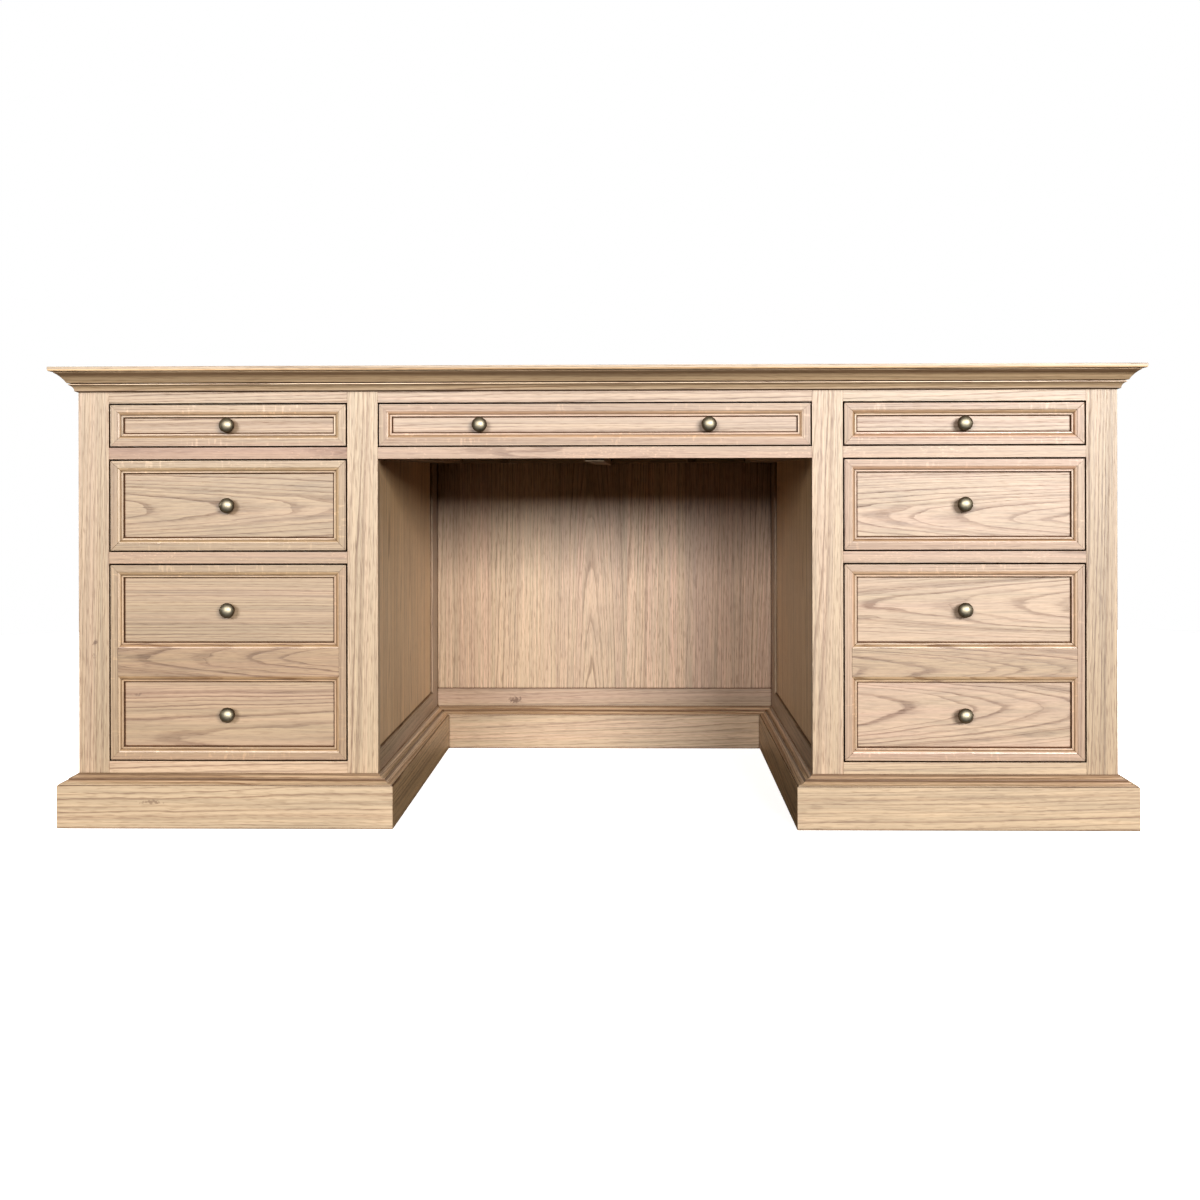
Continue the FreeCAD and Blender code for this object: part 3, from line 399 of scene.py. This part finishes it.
def painted_shade_bands(tree, bands):
    """Painted shade along the hollows of a moulding, each band given by its height, half width and depth of
    colour.
    """
    height = separate(tree, plug(tree, "TexCoord", {}).outputs["Object"])["Z"]
    total = 0.0
    for level, reach, depth in bands:
        away = maths(tree, "ABSOLUTE", maths(tree, "SUBTRACT", height, level))
        total = maths(tree, "ADD", ranged(tree, away, 0.0, reach, depth, 0.0), total)
    return total


def painted_hollow_shade(tree, surface, rub, hollow, bands):
    """Painted shade: dark in hollows of a given width, along the bands of a moulding and on faces given a value
    below zero.
    """
    hidden = plug(tree, "AmbientOcclusion", {"Distance": hollow}, samples=6).outputs["AO"]
    painted_shade = ranged(tree, hidden, 0.45, 0.87, 0.95, 0.0)
    if bands:
        painted_shade = maths(tree, "ADD", painted_shade, painted_shade_bands(tree, bands))
    painted_shade = maths(tree, "MULTIPLY", painted_shade, maths(tree, "MULTIPLY_ADD", rub, -0.7, 1.0))
    painted_shade = maths(tree, "ADD", painted_shade, ranged(tree, surface["X"], -1.0, 0.0, 1.0, 0.0))
    return maths(tree, "MINIMUM", painted_shade, 0.97)


KNOT_BROWN = (0.3, 0.2, 0.13, 1)
PAINTED_SHADE_BROWN = (0.22, 0.13, 0.07, 1)
UNDERSIDE_SHADE_BROWN = (0.6, 0.48, 0.36, 1)


def wood_finish(name, tints, figure, roughness, gloss, hollow, marks=(), bands=()):
    """Oak sawn from a log, with knots, painted shade in hollows and on undersides, and a sheen that is dull on
    level faces.
    """
    finish = bpy.data.materials.new(name)
    finish.use_nodes = True
    tree = finish.node_tree
    shader = tree.nodes["Principled BSDF"]
    shade = separate(tree, painted(tree, "shade"))
    surface = separate(tree, painted(tree, "surface"))
    pattern = sawn_pattern(tree, painted(tree, "log"), surface)
    facing = separate(tree, plug(tree, "NewGeometry", {}).outputs["Normal"])["Z"]
    # rub: how far a face is lightened, by wear and by painted light; it thins the painted shade and lowers the
    # roughness.
    rub = ranged(tree, surface["X"], 0.0, 1.0)
    painted_shade = painted_hollow_shade(tree, surface, rub, hollow, bands)

    colour = board_colour(tree, shade, pattern, tints, figure)
    if marks:
        colour = mixed(tree, knots_and_stains(tree, marks), colour, KNOT_BROWN, "MULTIPLY")
    # Painted shade: the colour is darkened in hollows, along moulding bands and on marked faces.
    colour = mixed(tree, painted_shade, colour, PAINTED_SHADE_BROWN, "MULTIPLY")
    # Painted shade: faces that turn downwards are darkened.
    painted_underside_shade = ranged(tree, facing, -0.75, -1.0, 0.0, 0.7)
    colour = mixed(tree, painted_underside_shade, colour, UNDERSIDE_SHADE_BROWN, "MULTIPLY")
    light = board_light(tree, surface, pattern)
    colour = plug(tree, "VectorMath", {0: colour, "Scale": light}, operation="SCALE").outputs[0]
    tree.links.new(colour, shader.inputs["Base Color"])

    dull = maths(tree, "MULTIPLY_ADD", pattern["early"], 0.07, roughness)
    dull = maths(tree, "MULTIPLY_ADD", pattern["pores"], 0.18, dull)
    dull = maths(tree, "MULTIPLY_ADD", pattern["rays"], -0.07, dull)
    dull = maths(tree, "MULTIPLY_ADD", rub, -0.06, dull)
    level = ranged(tree, facing, 0.8, 1.0)
    tree.links.new(maths(tree, "MULTIPLY_ADD", level, 0.24, dull), shader.inputs["Roughness"])
    shine = maths(tree, "MULTIPLY_ADD", painted_shade, -0.9 * gloss, gloss)
    shine = maths(tree, "MULTIPLY", shine, maths(tree, "MULTIPLY_ADD", level, -0.7, 1.0))
    tree.links.new(shine, shader.inputs["Specular IOR Level"])
    height = maths(tree, "MULTIPLY_ADD", pattern["pores"], -0.7, 0.7)
    height = maths(tree, "MULTIPLY_ADD", pattern["streak"], 0.25, height)
    height = maths(tree, "MULTIPLY_ADD", pattern["early"], -0.3, height)
    bump = plug(tree, "Bump", {"Height": height, "Strength": 0.35, "Distance": 0.0003})
    tree.links.new(bump.outputs[0], shader.inputs["Normal"])
    return finish


MARKS = (
    ((-0.834, -0.411, 0.305), (0.003, 0.006, 0.005), 0.7),
    ((-0.834, -0.411, 0.282), (0.003, 0.006, 0.004), 0.6),
    ((-0.732, -0.439, 0.044), (0.016, 0.006, 0.003), 0.6),
    ((-0.764, -0.4025, 0.216), (0.010, 0.006, 0.002), 0.5),
    ((-0.192, 0.385, 0.099), (0.013, 0.012, 0.007), 0.8),
)
OAK_TINTS = {"straw": (0.418, 0.309, 0.197, 1), "rose": (0.418, 0.272, 0.197, 1),
             "honey": (0.418, 0.282, 0.152, 1), "line": (0.42, 0.31, 0.22, 1), "pore": (0.45, 0.33, 0.24, 1)}
OAK = {"tints": OAK_TINTS, "figure": 0.95, "roughness": 0.42, "gloss": 0.85}
oak = wood_finish("oak_satin", hollow=0.005, marks=MARKS, **OAK)

STILES = {"left_outer": 1.06, "left_inner": 1.1, "right_inner": 1.09, "right_outer": 0.95}
for stile, tone in STILES.items():
    dress(stile + "_stile", oak, grain("rift", tone, rose=0.1, spread=0.01, dash=0.55, fine=1.35))

# Rails: the cross members between the stiles, above, between and below the drawers.
# Those between the drawers are quarter-sawn and pinker, with pale ray flecks. The top and bottom ones are
# paler, straight-grained oak.
TOP_RAIL_LOW = 0.7
UPPER_RAIL_LOW = 0.5
BASE_RAIL_TOP = 0.11
KNEE_HALF = 0.36


def rail_board(low, high):
    """Top and bottom rails are paler; the rails between the drawers are pinker, most of all on the left."""
    left = high.x < -KNEE_HALF
    if low.z > TOP_RAIL_LOW:
        return grain("rift", tone=0.95 if left else 0.99, rose=0.2, spread=0.01, fine=1.3)
    if high.z < BASE_RAIL_TOP:
        return grain("rift", tone=1.22 if left else 1.1, rose=0.05, spread=0.01, fine=1.3)
    if left and low.z > UPPER_RAIL_LOW:
        return grain("quarter", tone=0.82, rose=0.9, spread=0.02, fine=1.5)
    if left:
        return grain("quarter", tone=0.9, rose=0.5, spread=0.02, fine=1.5)
    return grain("quarter", tone=0.88 if low.x < KNEE_HALF else 0.91, rose=0.5, spread=0.02, fine=1.6)


for node in ("left_drawer_rails", "right_drawer_rails", "centre_drawer_rails"):
    dress(node, oak, rail_board)

# Pedestal sides: stiles and rails round a sunk oak panel, outside and in the kneehole.
# Each panel is glued up from upright staves. Those in the kneehole are painted paler, as painted light against
# the kneehole's shade, and more golden, the warm colour of that shade.
SIDE_STAVES = 5
SIDE_TONE, SIDE_ROSE = {"outer": 1.1, "inner": 1.62}, {"outer": 0.1, "inner": -0.7}


def stave_joints(node, axis, count):
    """Where a panel of equal staves is glued, along an axis."""
    low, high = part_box(node)
    return [low[axis] + (high[axis] - low[axis]) * step / count for step in range(1, count)]


for side in ("left", "right"):
    dress(side + "_side_frames", oak, grain("rift", rose=0.3))
    for wall in ("outer", "inner"):
        node = "%s_%s_panel" % (side, wall)
        staved = grain("plain", SIDE_TONE[wall], SIDE_ROSE[wall], along=Z)
        dress(node, oak, staved, joints=stave_joints(node, Y, SIDE_STAVES), joint_axis=Y)

# Back: a frame of stiles and rails with a sunk panel behind each pedestal and a wide one behind the
# kneehole. The wide panel is glued up from six upright staves, which differ a little in colour.
BACK_STAVES = 3
KNEEHOLE_JOINTS = (-0.235, -0.105, 0.05, 0.175, 0.283)
JOINT_SLACK = 0.01
dress("back_frame", oak, grain("rift", rose=0.35))
for side in ("left", "right"):
    node = side + "_back_panel"
    dress(node, oak, grain("plain", rose=0.3, along=Z), joints=stave_joints(node, X, BACK_STAVES))


def kneehole_stave(low, high):
    """The third stave is flat-sawn, the one beside it paler, and those on the right are pinker. All are painted
    paler than the boards outside, as painted light against the kneehole's shade.
    """
    order = sum(low.x > joint - JOINT_SLACK for joint in KNEEHOLE_JOINTS)
    if order > 3:
        return grain("plain", tone=1.3, rose=0.65, along=Z, spread=0.02, dash=0.45)
    if order == 3:
        return grain("rift", tone=1.52, rose=0.25, along=Z, spread=0.01, dash=0.5)
    if order == 2:
        return grain("flat", tone=1.27, rose=0.25, along=Z, spread=0.01, dash=0.4, fine=1.3)
    return grain("rift", tone=1.35, rose=0.25, along=Z, spread=0.01, dash=0.5, fine=1.4)


dress("kneehole_back_panel", oak, kneehole_stave, joints=KNEEHOLE_JOINTS)

# Plinth: deep oak boards round the foot of both pedestals and the kneehole, mitred at the corners.
# A two-step moulding sits on their top edge and hides the foot of the carcass.
FINE_ARRIS = 0.0003
KNEE_SLACK = 0.001
LEVEL_FACE = 0.75
LEDGE_PAINTED_LIGHT = 1.5
# Painted shade near the top of each cove of the base moulding: height, half width and depth of colour.
BASE_SHADE_BANDS = ((0.0788, 0.0045, 0.8), (0.0862, 0.0045, 0.65))


def in_kneehole(low, high):
    """Whether a board runs round the inside of the kneehole."""
    return max(-low.x, high.x) < KNEE_HALF + KNEE_SLACK


def plinth_board(low, high):
    """The boards in the kneehole are the palest, as painted light against its shade, and its side boards
    golden, the warm colour of that shade; then the left-hand ones.
    """
    if in_kneehole(low, high):
        return grain("plain", tone=1.34, rose=0.2 if high.x - low.x > KNEE_HALF else -0.9, fine=0.9)
    return grain("plain", tone=1.19 if high.x < 0 else 1.09, rose=-0.1, fine=0.9)


def base_length(low, high):
    """The lengths of base moulding match the boards below them, and those in the kneehole are painted paler, as
    painted light against its shade.
    """
    return grain("rift", tone=1.3 if in_kneehole(low, high) else 1.1, rose=0.1, fine=1.3)


def ledge_painted_light(face):
    """Painted light: the upper side of each step is painted paler."""
    return LEDGE_PAINTED_LIGHT if face.normal.z > LEVEL_FACE else 0


base_oak = wood_finish("oak_satin_base", hollow=0.003, bands=BASE_SHADE_BANDS, **OAK)
for wall in ("left", "right", "rear"):
    dress(wall + "_plinth", oak, plinth_board)
    dress(wall + "_base_moulding", base_oak, base_length, round_over=FINE_ARRIS, painted_light_and_shade=ledge_painted_light)

# Inner framing: bottoms, drawer runners with their dust panels, guides, packers and the bearers of the
# centre drawer. All are bare planed timber, screwed and glued inside the pedestals, and seldom seen.
BARE_TINTS = {"straw": (0.47, 0.36, 0.24, 1), "rose": (0.46, 0.33, 0.22, 1), "honey": (0.46, 0.34, 0.2, 1),
              "line": (0.66, 0.56, 0.46, 1), "pore": (0.6, 0.48, 0.38, 1)}
bare_wood = wood_finish("bare_framing_wood", BARE_TINTS, figure=0.4, roughness=0.62, gloss=0.3, hollow=0.005)
for node in ("pedestal_bottoms", "left_runner_frames", "right_runner_frames", "drawer_guides",
             "slide_packers", "centre_drawer_framing"):
    dress(node, bare_wood, grain("rift", rose=0.3))

# Top: a flat panel of glued staves inside four mitred lippings with a moulded edge, on a bed moulding.
# Screws through the cleats hold it down from below.
TOP_STAVES = 7
OVOLO_LOW, OVOLO_TOP = 0.7543, 0.7581
QUIRK_LOW = 0.7528
BED_FILLET_LOW, BED_FILLET_TOP = 0.7331, 0.7351
LEAN_LEAST, LEAN_MOST = 0.1, 0.98
UPRIGHT_FACE = 0.25
FILLET_PAINTED_LIGHT = 3
# Painted shade on the upper part of the lipping's cove and at the foot of the bed moulding: height, half width
# and depth of colour.
EDGE_SHADE_BANDS = ((0.7495, 0.0060, 0.65), (0.7222, 0.0028, 0.85))


def edge_painted_light(face):
    """Painted light: the ovolo and the fillets, which stand proud, are painted paler."""
    height = face.calc_center_median().z
    if OVOLO_LOW < height < OVOLO_TOP and LEAN_LEAST < -face.normal.z < LEAN_MOST:
        return MOST_PAINTED_LIGHT
    upright = abs(face.normal.z) < UPRIGHT_FACE
    if upright and (QUIRK_LOW < height < OVOLO_LOW or BED_FILLET_LOW < height < BED_FILLET_TOP):
        return FILLET_PAINTED_LIGHT
    return 0


dress("desk_top_panel", oak, grain("plain", rose=0.25, along=X),
      joints=stave_joints("desk_top_panel", Y, TOP_STAVES), joint_axis=Y)
moulded_oak = wood_finish("oak_satin_moulded", hollow=0.010, bands=EDGE_SHADE_BANDS, **OAK)
dress("top_lipping", moulded_oak, grain("rift", tone=1.02, rose=-0.2, fine=1.3), painted_light_and_shade=edge_painted_light)
dress("bed_moulding", moulded_oak, grain("rift", tone=1.04, rose=-0.2, fine=1.3), round_over=FINE_ARRIS,
      painted_light_and_shade=edge_painted_light)
dress("top_cleats", bare_wood, grain("rift", rose=0.3))

# Drawer fronts: a mitred frame with a moulded inner edge round a sunk flat panel of oak, held in a rebate.
# The deep fronts have two panels with a rail between them, so that each looks like two drawers.
DRAWERS = [side + depth for side in ("left", "right")
           for depth in ("_top_drawer", "_middle_drawer", "_file_drawer")] + ["centre_drawer"]
PANEL_THICK = 0.013
MID_RAIL_WIDE = 0.055
DEEP_FRONT_TOP = 0.45
SHALLOW_PANEL = 0.08
FRONT_LEVEL = -0.411
QUIRK_DEEP, FILLET_DEEP = 0.0008, 0.0045
# Painted shade lies in a strip this wide along each panel's edge and in the moulding's cove; painted light lies
# on the fillet.
PAINTED_SHADE_WIDE, EDGE_STRIP = 0.002, 0.014
STEEP_FACE, GRAZED_FACE = 0.7, 0.02
LIP_PAINTED_LIGHT = 1
PANEL_EDGE_PAINTED_SHADE, COVE_PAINTED_SHADE = -0.85, -0.35


def front_board(low, high):
    """Panels are flat-sawn and the frames straighter; the fronts on the left are darker and browner."""
    size = high - low
    left = high.x < -KNEE_HALF
    deep = high.z < DEEP_FRONT_TOP
    if size.y < PANEL_THICK:
        straight = size.z < SHALLOW_PANEL or (left and deep)
        tone, rose = (0.92, 0.1) if left else (1.03, 0.4)
        return grain("plain" if straight else "flat", tone, rose, spread=0.02, dash=0.2, fine=1.1)
    if size.x > size.z and size.z > MID_RAIL_WIDE:
        return grain("flat", tone=0.8 if left else 0.88, rose=0.3, fine=1.5)
    if left:
        return grain("quarter", tone=0.9, rose=0.05, spread=0.05, fine=1.5)
    return grain("quarter", tone=0.93 if deep else 0.88, rose=0.45, spread=0.05, fine=1.5)


def front_corners(bm):
    """Low and high corner of the panels of a drawer front, and of the boards of its frame."""
    boards = [corners_of(board) for board in loose_boards(bm)]
    panels = [(low, high) for low, high in boards if high.y - low.y < PANEL_THICK]
    return panels, [board for board in boards if board not in panels]


def panel_face(bm, low, high):
    """The front faces of one panel, which lie at its lowest Y, with their edges and corners."""
    faces = []
    for face in bm.faces:
        centre = face.calc_center_median()
        if face.normal.y < -SQUARE_ON and abs(centre.y - low.y) < MERGE_GAP and low.z < centre.z < high.z:
            faces.append(face)
    return faces + list({part for face in faces for part in list(face.edges) + list(face.verts)})


def cut_panel_edges(bm):
    """Cuts a narrow strip along each edge of each panel, where it meets the lip of the frame."""
    panels, frame_boards = front_corners(bm)
    for low, high in panels:
        middle = (low + high) / 2
        for axis in (X, Z):
            before = max(end[axis] for start, end in frame_boards if end[axis] < middle[axis])
            after = min(start[axis] for start, end in frame_boards if start[axis] > middle[axis])
            for place in (before + PAINTED_SHADE_WIDE, after - PAINTED_SHADE_WIDE):
                saw_across(bm, panel_face(bm, low, high), axis, place)


def front_painted_light_and_shade(face):
    """Painted shade along the panels' edges and in the steep part of the moulding; painted light on the fillet.
    """
    low, high = corners_of([face])
    depth = face.calc_center_median().y - FRONT_LEVEL
    towards = -face.normal.y
    if towards > SQUARE_ON and depth > FILLET_DEEP + MERGE_GAP:
        return PANEL_EDGE_PAINTED_SHADE if min(high.x - low.x, high.z - low.z) < EDGE_STRIP else 0
    if towards > STEEP_FACE and depth > QUIRK_DEEP:
        return LIP_PAINTED_LIGHT
    if GRAZED_FACE < towards < STEEP_FACE and QUIRK_DEEP < depth < FILLET_DEEP:
        return COVE_PAINTED_SHADE
    return 0


for drawer in DRAWERS:
    dress(drawer + "_front", oak, front_board, round_over=FINE_ARRIS, painted_light_and_shade=front_painted_light_and_shade, scribe=cut_panel_edges)

# Drawer boxes: sides dovetailed to an inner front, a back, and a thin bottom let into grooves.
# They are paler sealed oak, with end grain on the dovetails.
BOX_TINTS = {"straw": (0.5, 0.39, 0.27, 1), "rose": (0.49, 0.37, 0.25, 1), "honey": (0.49, 0.37, 0.23, 1),
             "line": (0.7, 0.6, 0.5, 1), "pore": (0.62, 0.5, 0.4, 1)}
box_wood = wood_finish("sealed_drawer_wood", BOX_TINTS, figure=0.4, roughness=0.5, gloss=0.5, hollow=0.005)
for drawer in DRAWERS:
    dress(drawer + "_box", box_wood, grain("rift", rose=0.3), round_over=FINE_ARRIS)

# Knobs: turned solid brass, aged brown and rubbed bright on the crown, each with a stud through its
# drawer front. A hexagon nut holds the stud behind the drawer's inner front.
KNOB_RADIUS = 0.0125
KNOB_OUT = 0.025
KNOB_WAIST = 0.017
NECK_RADIUS = 0.0055
NECK_END = 0.009
FOOT_RADIUS = 0.0085
FOOT_DEEP = 0.0025
STUD_RADIUS = 0.0025
KNOB_STEPS = 48
ARC_STEPS = 10
NUT_SIDES = 6
NUT_CORNER = 0.0004
PATINA = (0.075, 0.058, 0.036, 1)
RUBBED_BRASS = (0.42, 0.37, 0.27, 1)
BRASS_RIM = (0.35, 0.3, 0.22, 1)


def quarter_arc(start, end, level_first):
    """Points on a quarter of an ellipse between two (radius, out) places, level or plumb at its start."""
    points = []
    for step in range(1, ARC_STEPS + 1):
        turn = math.pi / 2 * step / ARC_STEPS
        slow, quick = 1 - math.cos(turn), math.sin(turn)
        across, out = (quick, slow) if level_first else (slow, quick)
        points.append((start[0] + (end[0] - start[0]) * across, start[1] + (end[1] - start[1]) * out))
    return points


def turn_knob(bm, low, high):
    """Turns a knob and its stud inside the box that the two corners give."""
    x, z = (low.x + high.x) / 2, (low.z + high.z) / 2
    face = low.y + KNOB_OUT
    foot, neck, waist = (FOOT_RADIUS, FOOT_DEEP), (NECK_RADIUS, NECK_END), (KNOB_RADIUS, KNOB_WAIST)
    stud_end = face - high.y
    outline = [(0, stud_end), (STUD_RADIUS, stud_end), (STUD_RADIUS, 0), (FOOT_RADIUS, 0), foot]
    outline += quarter_arc(foot, neck, True)
    outline += quarter_arc(neck, waist, True)
    outline += quarter_arc(waist, (0, KNOB_OUT), False)
    rub = bm.verts.layers.float["rub"]
    verts = []
    for radius, out in outline:
        vert = bm.verts.new((x + radius, face - out, z))
        vert[rub] = max(0.0, (out - KNOB_WAIST) / (KNOB_OUT - KNOB_WAIST))
        verts.append(vert)
    edges = [bm.edges.new(pair) for pair in zip(verts, verts[1:])]
    bmesh.ops.spin(bm, geom=verts + edges, cent=(x, face, z), axis=(0, 1, 0), angle=math.tau,
                   steps=KNOB_STEPS, use_merge=True)


def cut_nut(bm, low, high):
    """A hexagon nut with eased corners, in the box that the two corners give."""
    radius = (high.x - low.x) / 2
    nut = bmesh.ops.create_cone(bm, cap_ends=True, segments=NUT_SIDES, radius1=radius, radius2=radius,
                                depth=high.y - low.y)
    bmesh.ops.rotate(bm, verts=nut["verts"], matrix=Matrix.Rotation(math.pi / 2, 3, "X"))
    bmesh.ops.translate(bm, verts=nut["verts"], vec=(low + high) / 2)
    edges = {edge for vert in nut["verts"] for edge in vert.link_edges}
    bmesh.ops.bevel(bm, geom=list(edges), offset=NUT_CORNER, segments=2, profile=0.5, affect="EDGES",
                    clamp_overlap=True, material=-1)


def aged_brass_finish():
    """Brown patina in the hollows and round the rim, rubbed to brass on the crown, with fine scratches."""
    finish = bpy.data.materials.new("aged_brass")
    finish.use_nodes = True
    tree = finish.node_tree
    shader = tree.nodes["Principled BSDF"]
    place = plug(tree, "TexCoord", {}).outputs["Object"]
    rub = plug(tree, "Attribute", {}, attribute_name="rub").outputs["Fac"]
    blotch = plug(tree, "TexNoise", {"Vector": place, "Scale": 260.0, "Detail": 4.0}).outputs[0]
    scratch = plug(tree, "TexNoise", {"Vector": place, "Scale": 2600.0, "Detail": 2.0}).outputs[0]
    bright = maths(tree, "MULTIPLY_ADD", blotch, 0.7, maths(tree, "MULTIPLY_ADD", rub, 1.1, -0.3))
    colour = mixed(tree, ranged(tree, bright, 0.0, 1.0), PATINA, RUBBED_BRASS)
    tree.links.new(colour, shader.inputs["Base Color"])
    dull = maths(tree, "MULTIPLY_ADD", blotch, 0.22, maths(tree, "MULTIPLY_ADD", rub, -0.04, 0.44))
    tree.links.new(dull, shader.inputs["Roughness"])
    bump = plug(tree, "Bump", {"Height": scratch, "Strength": 0.12, "Distance": 0.0001})
    tree.links.new(bump.outputs[0], shader.inputs["Normal"])
    shader.inputs["Metallic"].default_value = 1.0
    shader.inputs["Specular Tint"].default_value = BRASS_RIM
    return finish


aged_brass = aged_brass_finish()
for drawer in DRAWERS:
    node = drawer + ("_knobs" if "file" in drawer or "centre" in drawer else "_knob")
    cad = clean_copy(node)
    bm = bmesh.new()
    bm.verts.layers.float.new("rub")
    for solid in loose_boards(cad):
        low, high = corners_of(solid)
        if high.x - low.x > KNOB_RADIUS:
            turn_knob(bm, low, high)
        else:
            cut_nut(bm, low, high)
    cad.free()
    bmesh.ops.remove_doubles(bm, verts=bm.verts, dist=MERGE_GAP)
    bmesh.ops.recalc_face_normals(bm, faces=bm.faces)
    place_piece(node, bm, aged_brass)

# Slides: telescopic steel channels of the deep drawers, pressed from zinc-plated strip. The outer member
# is screwed to the packers, the inner one to the drawer, and the middle one runs between.
ROLLED_LINES = (900.0, 6.0, 900.0)
ZINC = (0.62, 0.63, 0.65)


def plated_finish(name, colour, roughness):
    """Bright plating with the faint lines of rolled strip."""
    finish = bpy.data.materials.new(name)
    finish.use_nodes = True
    tree = finish.node_tree
    shader = tree.nodes["Principled BSDF"]
    place = plug(tree, "TexCoord", {}).outputs["Object"]
    lines = noise(tree, vector_maths(tree, "MULTIPLY", place, ROLLED_LINES)).outputs[0]
    spangle = plug(tree, "TexNoise", {"Vector": place, "Scale": 55.0, "Detail": 3.0}).outputs[0]
    light = maths(tree, "MULTIPLY_ADD", spangle, 0.3, maths(tree, "MULTIPLY_ADD", lines, 0.16, 0.77))
    tinted = plug(tree, "VectorMath", {0: colour, "Scale": light}, operation="SCALE").outputs[0]
    tree.links.new(tinted, shader.inputs["Base Color"])
    dull = maths(tree, "MULTIPLY_ADD", lines, 0.16, maths(tree, "MULTIPLY_ADD", spangle, 0.12, roughness))
    tree.links.new(dull, shader.inputs["Roughness"])
    bump = plug(tree, "Bump", {"Height": lines, "Strength": 0.1, "Distance": 0.0001})
    tree.links.new(bump.outputs[0], shader.inputs["Normal"])
    shader.inputs["Metallic"].default_value = 1.0
    return finish


def plate(node, finish):
    """Gives a CAD node a metal finish."""
    mesh = frame["nodes"][node].data
    mesh.materials.clear()
    mesh.materials.append(finish)


zinc = plated_finish("zinc_plate", ZINC, 0.26)
plate("file_slide_outers", zinc)
for side in ("left", "right"):
    plate(side + "_file_slide_inner", zinc)
    plate(side + "_file_slide_middle", zinc)

# Top screws: countersunk steel screws driven up through the cleats into the top.
# Their heads show only from below, with every drawer out.
YELLOW_PLATE = (0.60, 0.52, 0.34)
plate("top_screws", plated_finish("yellow_passivated_steel", YELLOW_PLATE, 0.3))

# Floor and light: a round white studio floor that glows a little, as a lit sweep does, under broad soft
# lights. Two of them stand far off behind the camera, the right one stronger. One hangs overhead, and one
# more stands at each end and at the back.
FLOOR_RADIUS = 3.6
FLOOR_SIDES = 96
FLOOR_WHITE = (0.92, 0.92, 0.92, 1)
floor_bm = bmesh.new()
bmesh.ops.create_circle(floor_bm, cap_ends=True, segments=FLOOR_SIDES, radius=FLOOR_RADIUS)
floor_mesh = bpy.data.meshes.new("studio_floor")
floor_bm.to_mesh(floor_mesh)
floor_bm.free()
floor = bpy.data.objects.new("studio_floor", floor_mesh)
bpy.context.scene.collection.objects.link(floor)
floor.visible_diffuse = False
floor.visible_glossy = False
floor_paint = bpy.data.materials.new("white_sweep")
floor_paint.use_nodes = True
floor_shader = floor_paint.node_tree.nodes["Principled BSDF"]
floor_shader.inputs["Base Color"].default_value = FLOOR_WHITE
floor_shader.inputs["Roughness"].default_value = 0.9
floor_shader.inputs["Emission Color"].default_value = WHITE
floor_shader.inputs["Emission Strength"].default_value = 0.8
floor_mesh.materials.append(floor_paint)

world = bpy.data.worlds.new("studio")
bpy.context.scene.world = world
world.use_nodes = True
world.node_tree.nodes["Background"].inputs["Color"].default_value = WHITE
world.node_tree.nodes["Background"].inputs["Strength"].default_value = 1.0
world.cycles_visibility.diffuse = False
world.cycles_visibility.glossy = False


def soft_box(name, place, aim, wide, high, power):
    """A broad area light, turned towards a point."""
    lamp = bpy.data.lights.new(name, "AREA")
    lamp.shape = "RECTANGLE"
    lamp.size = wide
    lamp.size_y = high
    lamp.energy = power
    stand = bpy.data.objects.new(name, lamp)
    stand.location = place
    stand.rotation_euler = (Vector(aim) - Vector(place)).to_track_quat("-Z", "Y").to_euler()
    bpy.context.scene.collection.objects.link(stand)
    stand.visible_camera = False


soft_box("right_soft_box", place=(5.2, -14.0, 3.4), aim=(0, 0, 0.45), wide=6.5, high=3.1, power=2660)
soft_box("left_soft_box", place=(-3.8, -14.0, 3.4), aim=(0, 0, 0.45), wide=4.6, high=3.1, power=1330)
soft_box("overhead_soft_box", place=(0, 0.8, 3.6), aim=(0, 0.4, 0), wide=4.0, high=2.0, power=110)
soft_box("back_soft_box", place=(0, 8.0, 2.6), aim=(0, 0, 0.4), wide=3.4, high=1.6, power=580)
for end in (-1, 1):
    soft_box("end_soft_box_%d" % end, place=(end * 7.0, 0.8, 2.2), aim=(0, 0.2, 0.4), wide=2.6, high=1.4,
             power=300)

# Camera: level, a little right of the middle, at the height of the drawers, as the photograph was taken.
# The lens is shifted, so that the horizon stands above the middle of the picture.
PHOTO_SIDE = 1200
FOCAL_PIXELS = 1607.2
HORIZON_PIXEL = 479
CAMERA_PLACE = (0.0681, -3.0736, 0.5753)
CAMERA_TURN = (math.radians(90), 0.0021, 0.0220)
lens = bpy.data.cameras.new("photo_camera")
lens.sensor_width = 36
lens.lens = lens.sensor_width * FOCAL_PIXELS / PHOTO_SIDE
lens.shift_y = (HORIZON_PIXEL - PHOTO_SIDE / 2) / PHOTO_SIDE
camera = bpy.data.objects.new("photo_camera", lens)
camera.location = CAMERA_PLACE
camera.rotation_euler = CAMERA_TURN
bpy.context.scene.collection.objects.link(camera)
bpy.context.scene.camera = camera
bpy.context.scene.view_settings.view_transform = "Standard"
bpy.context.scene.view_settings.gamma = 0.88
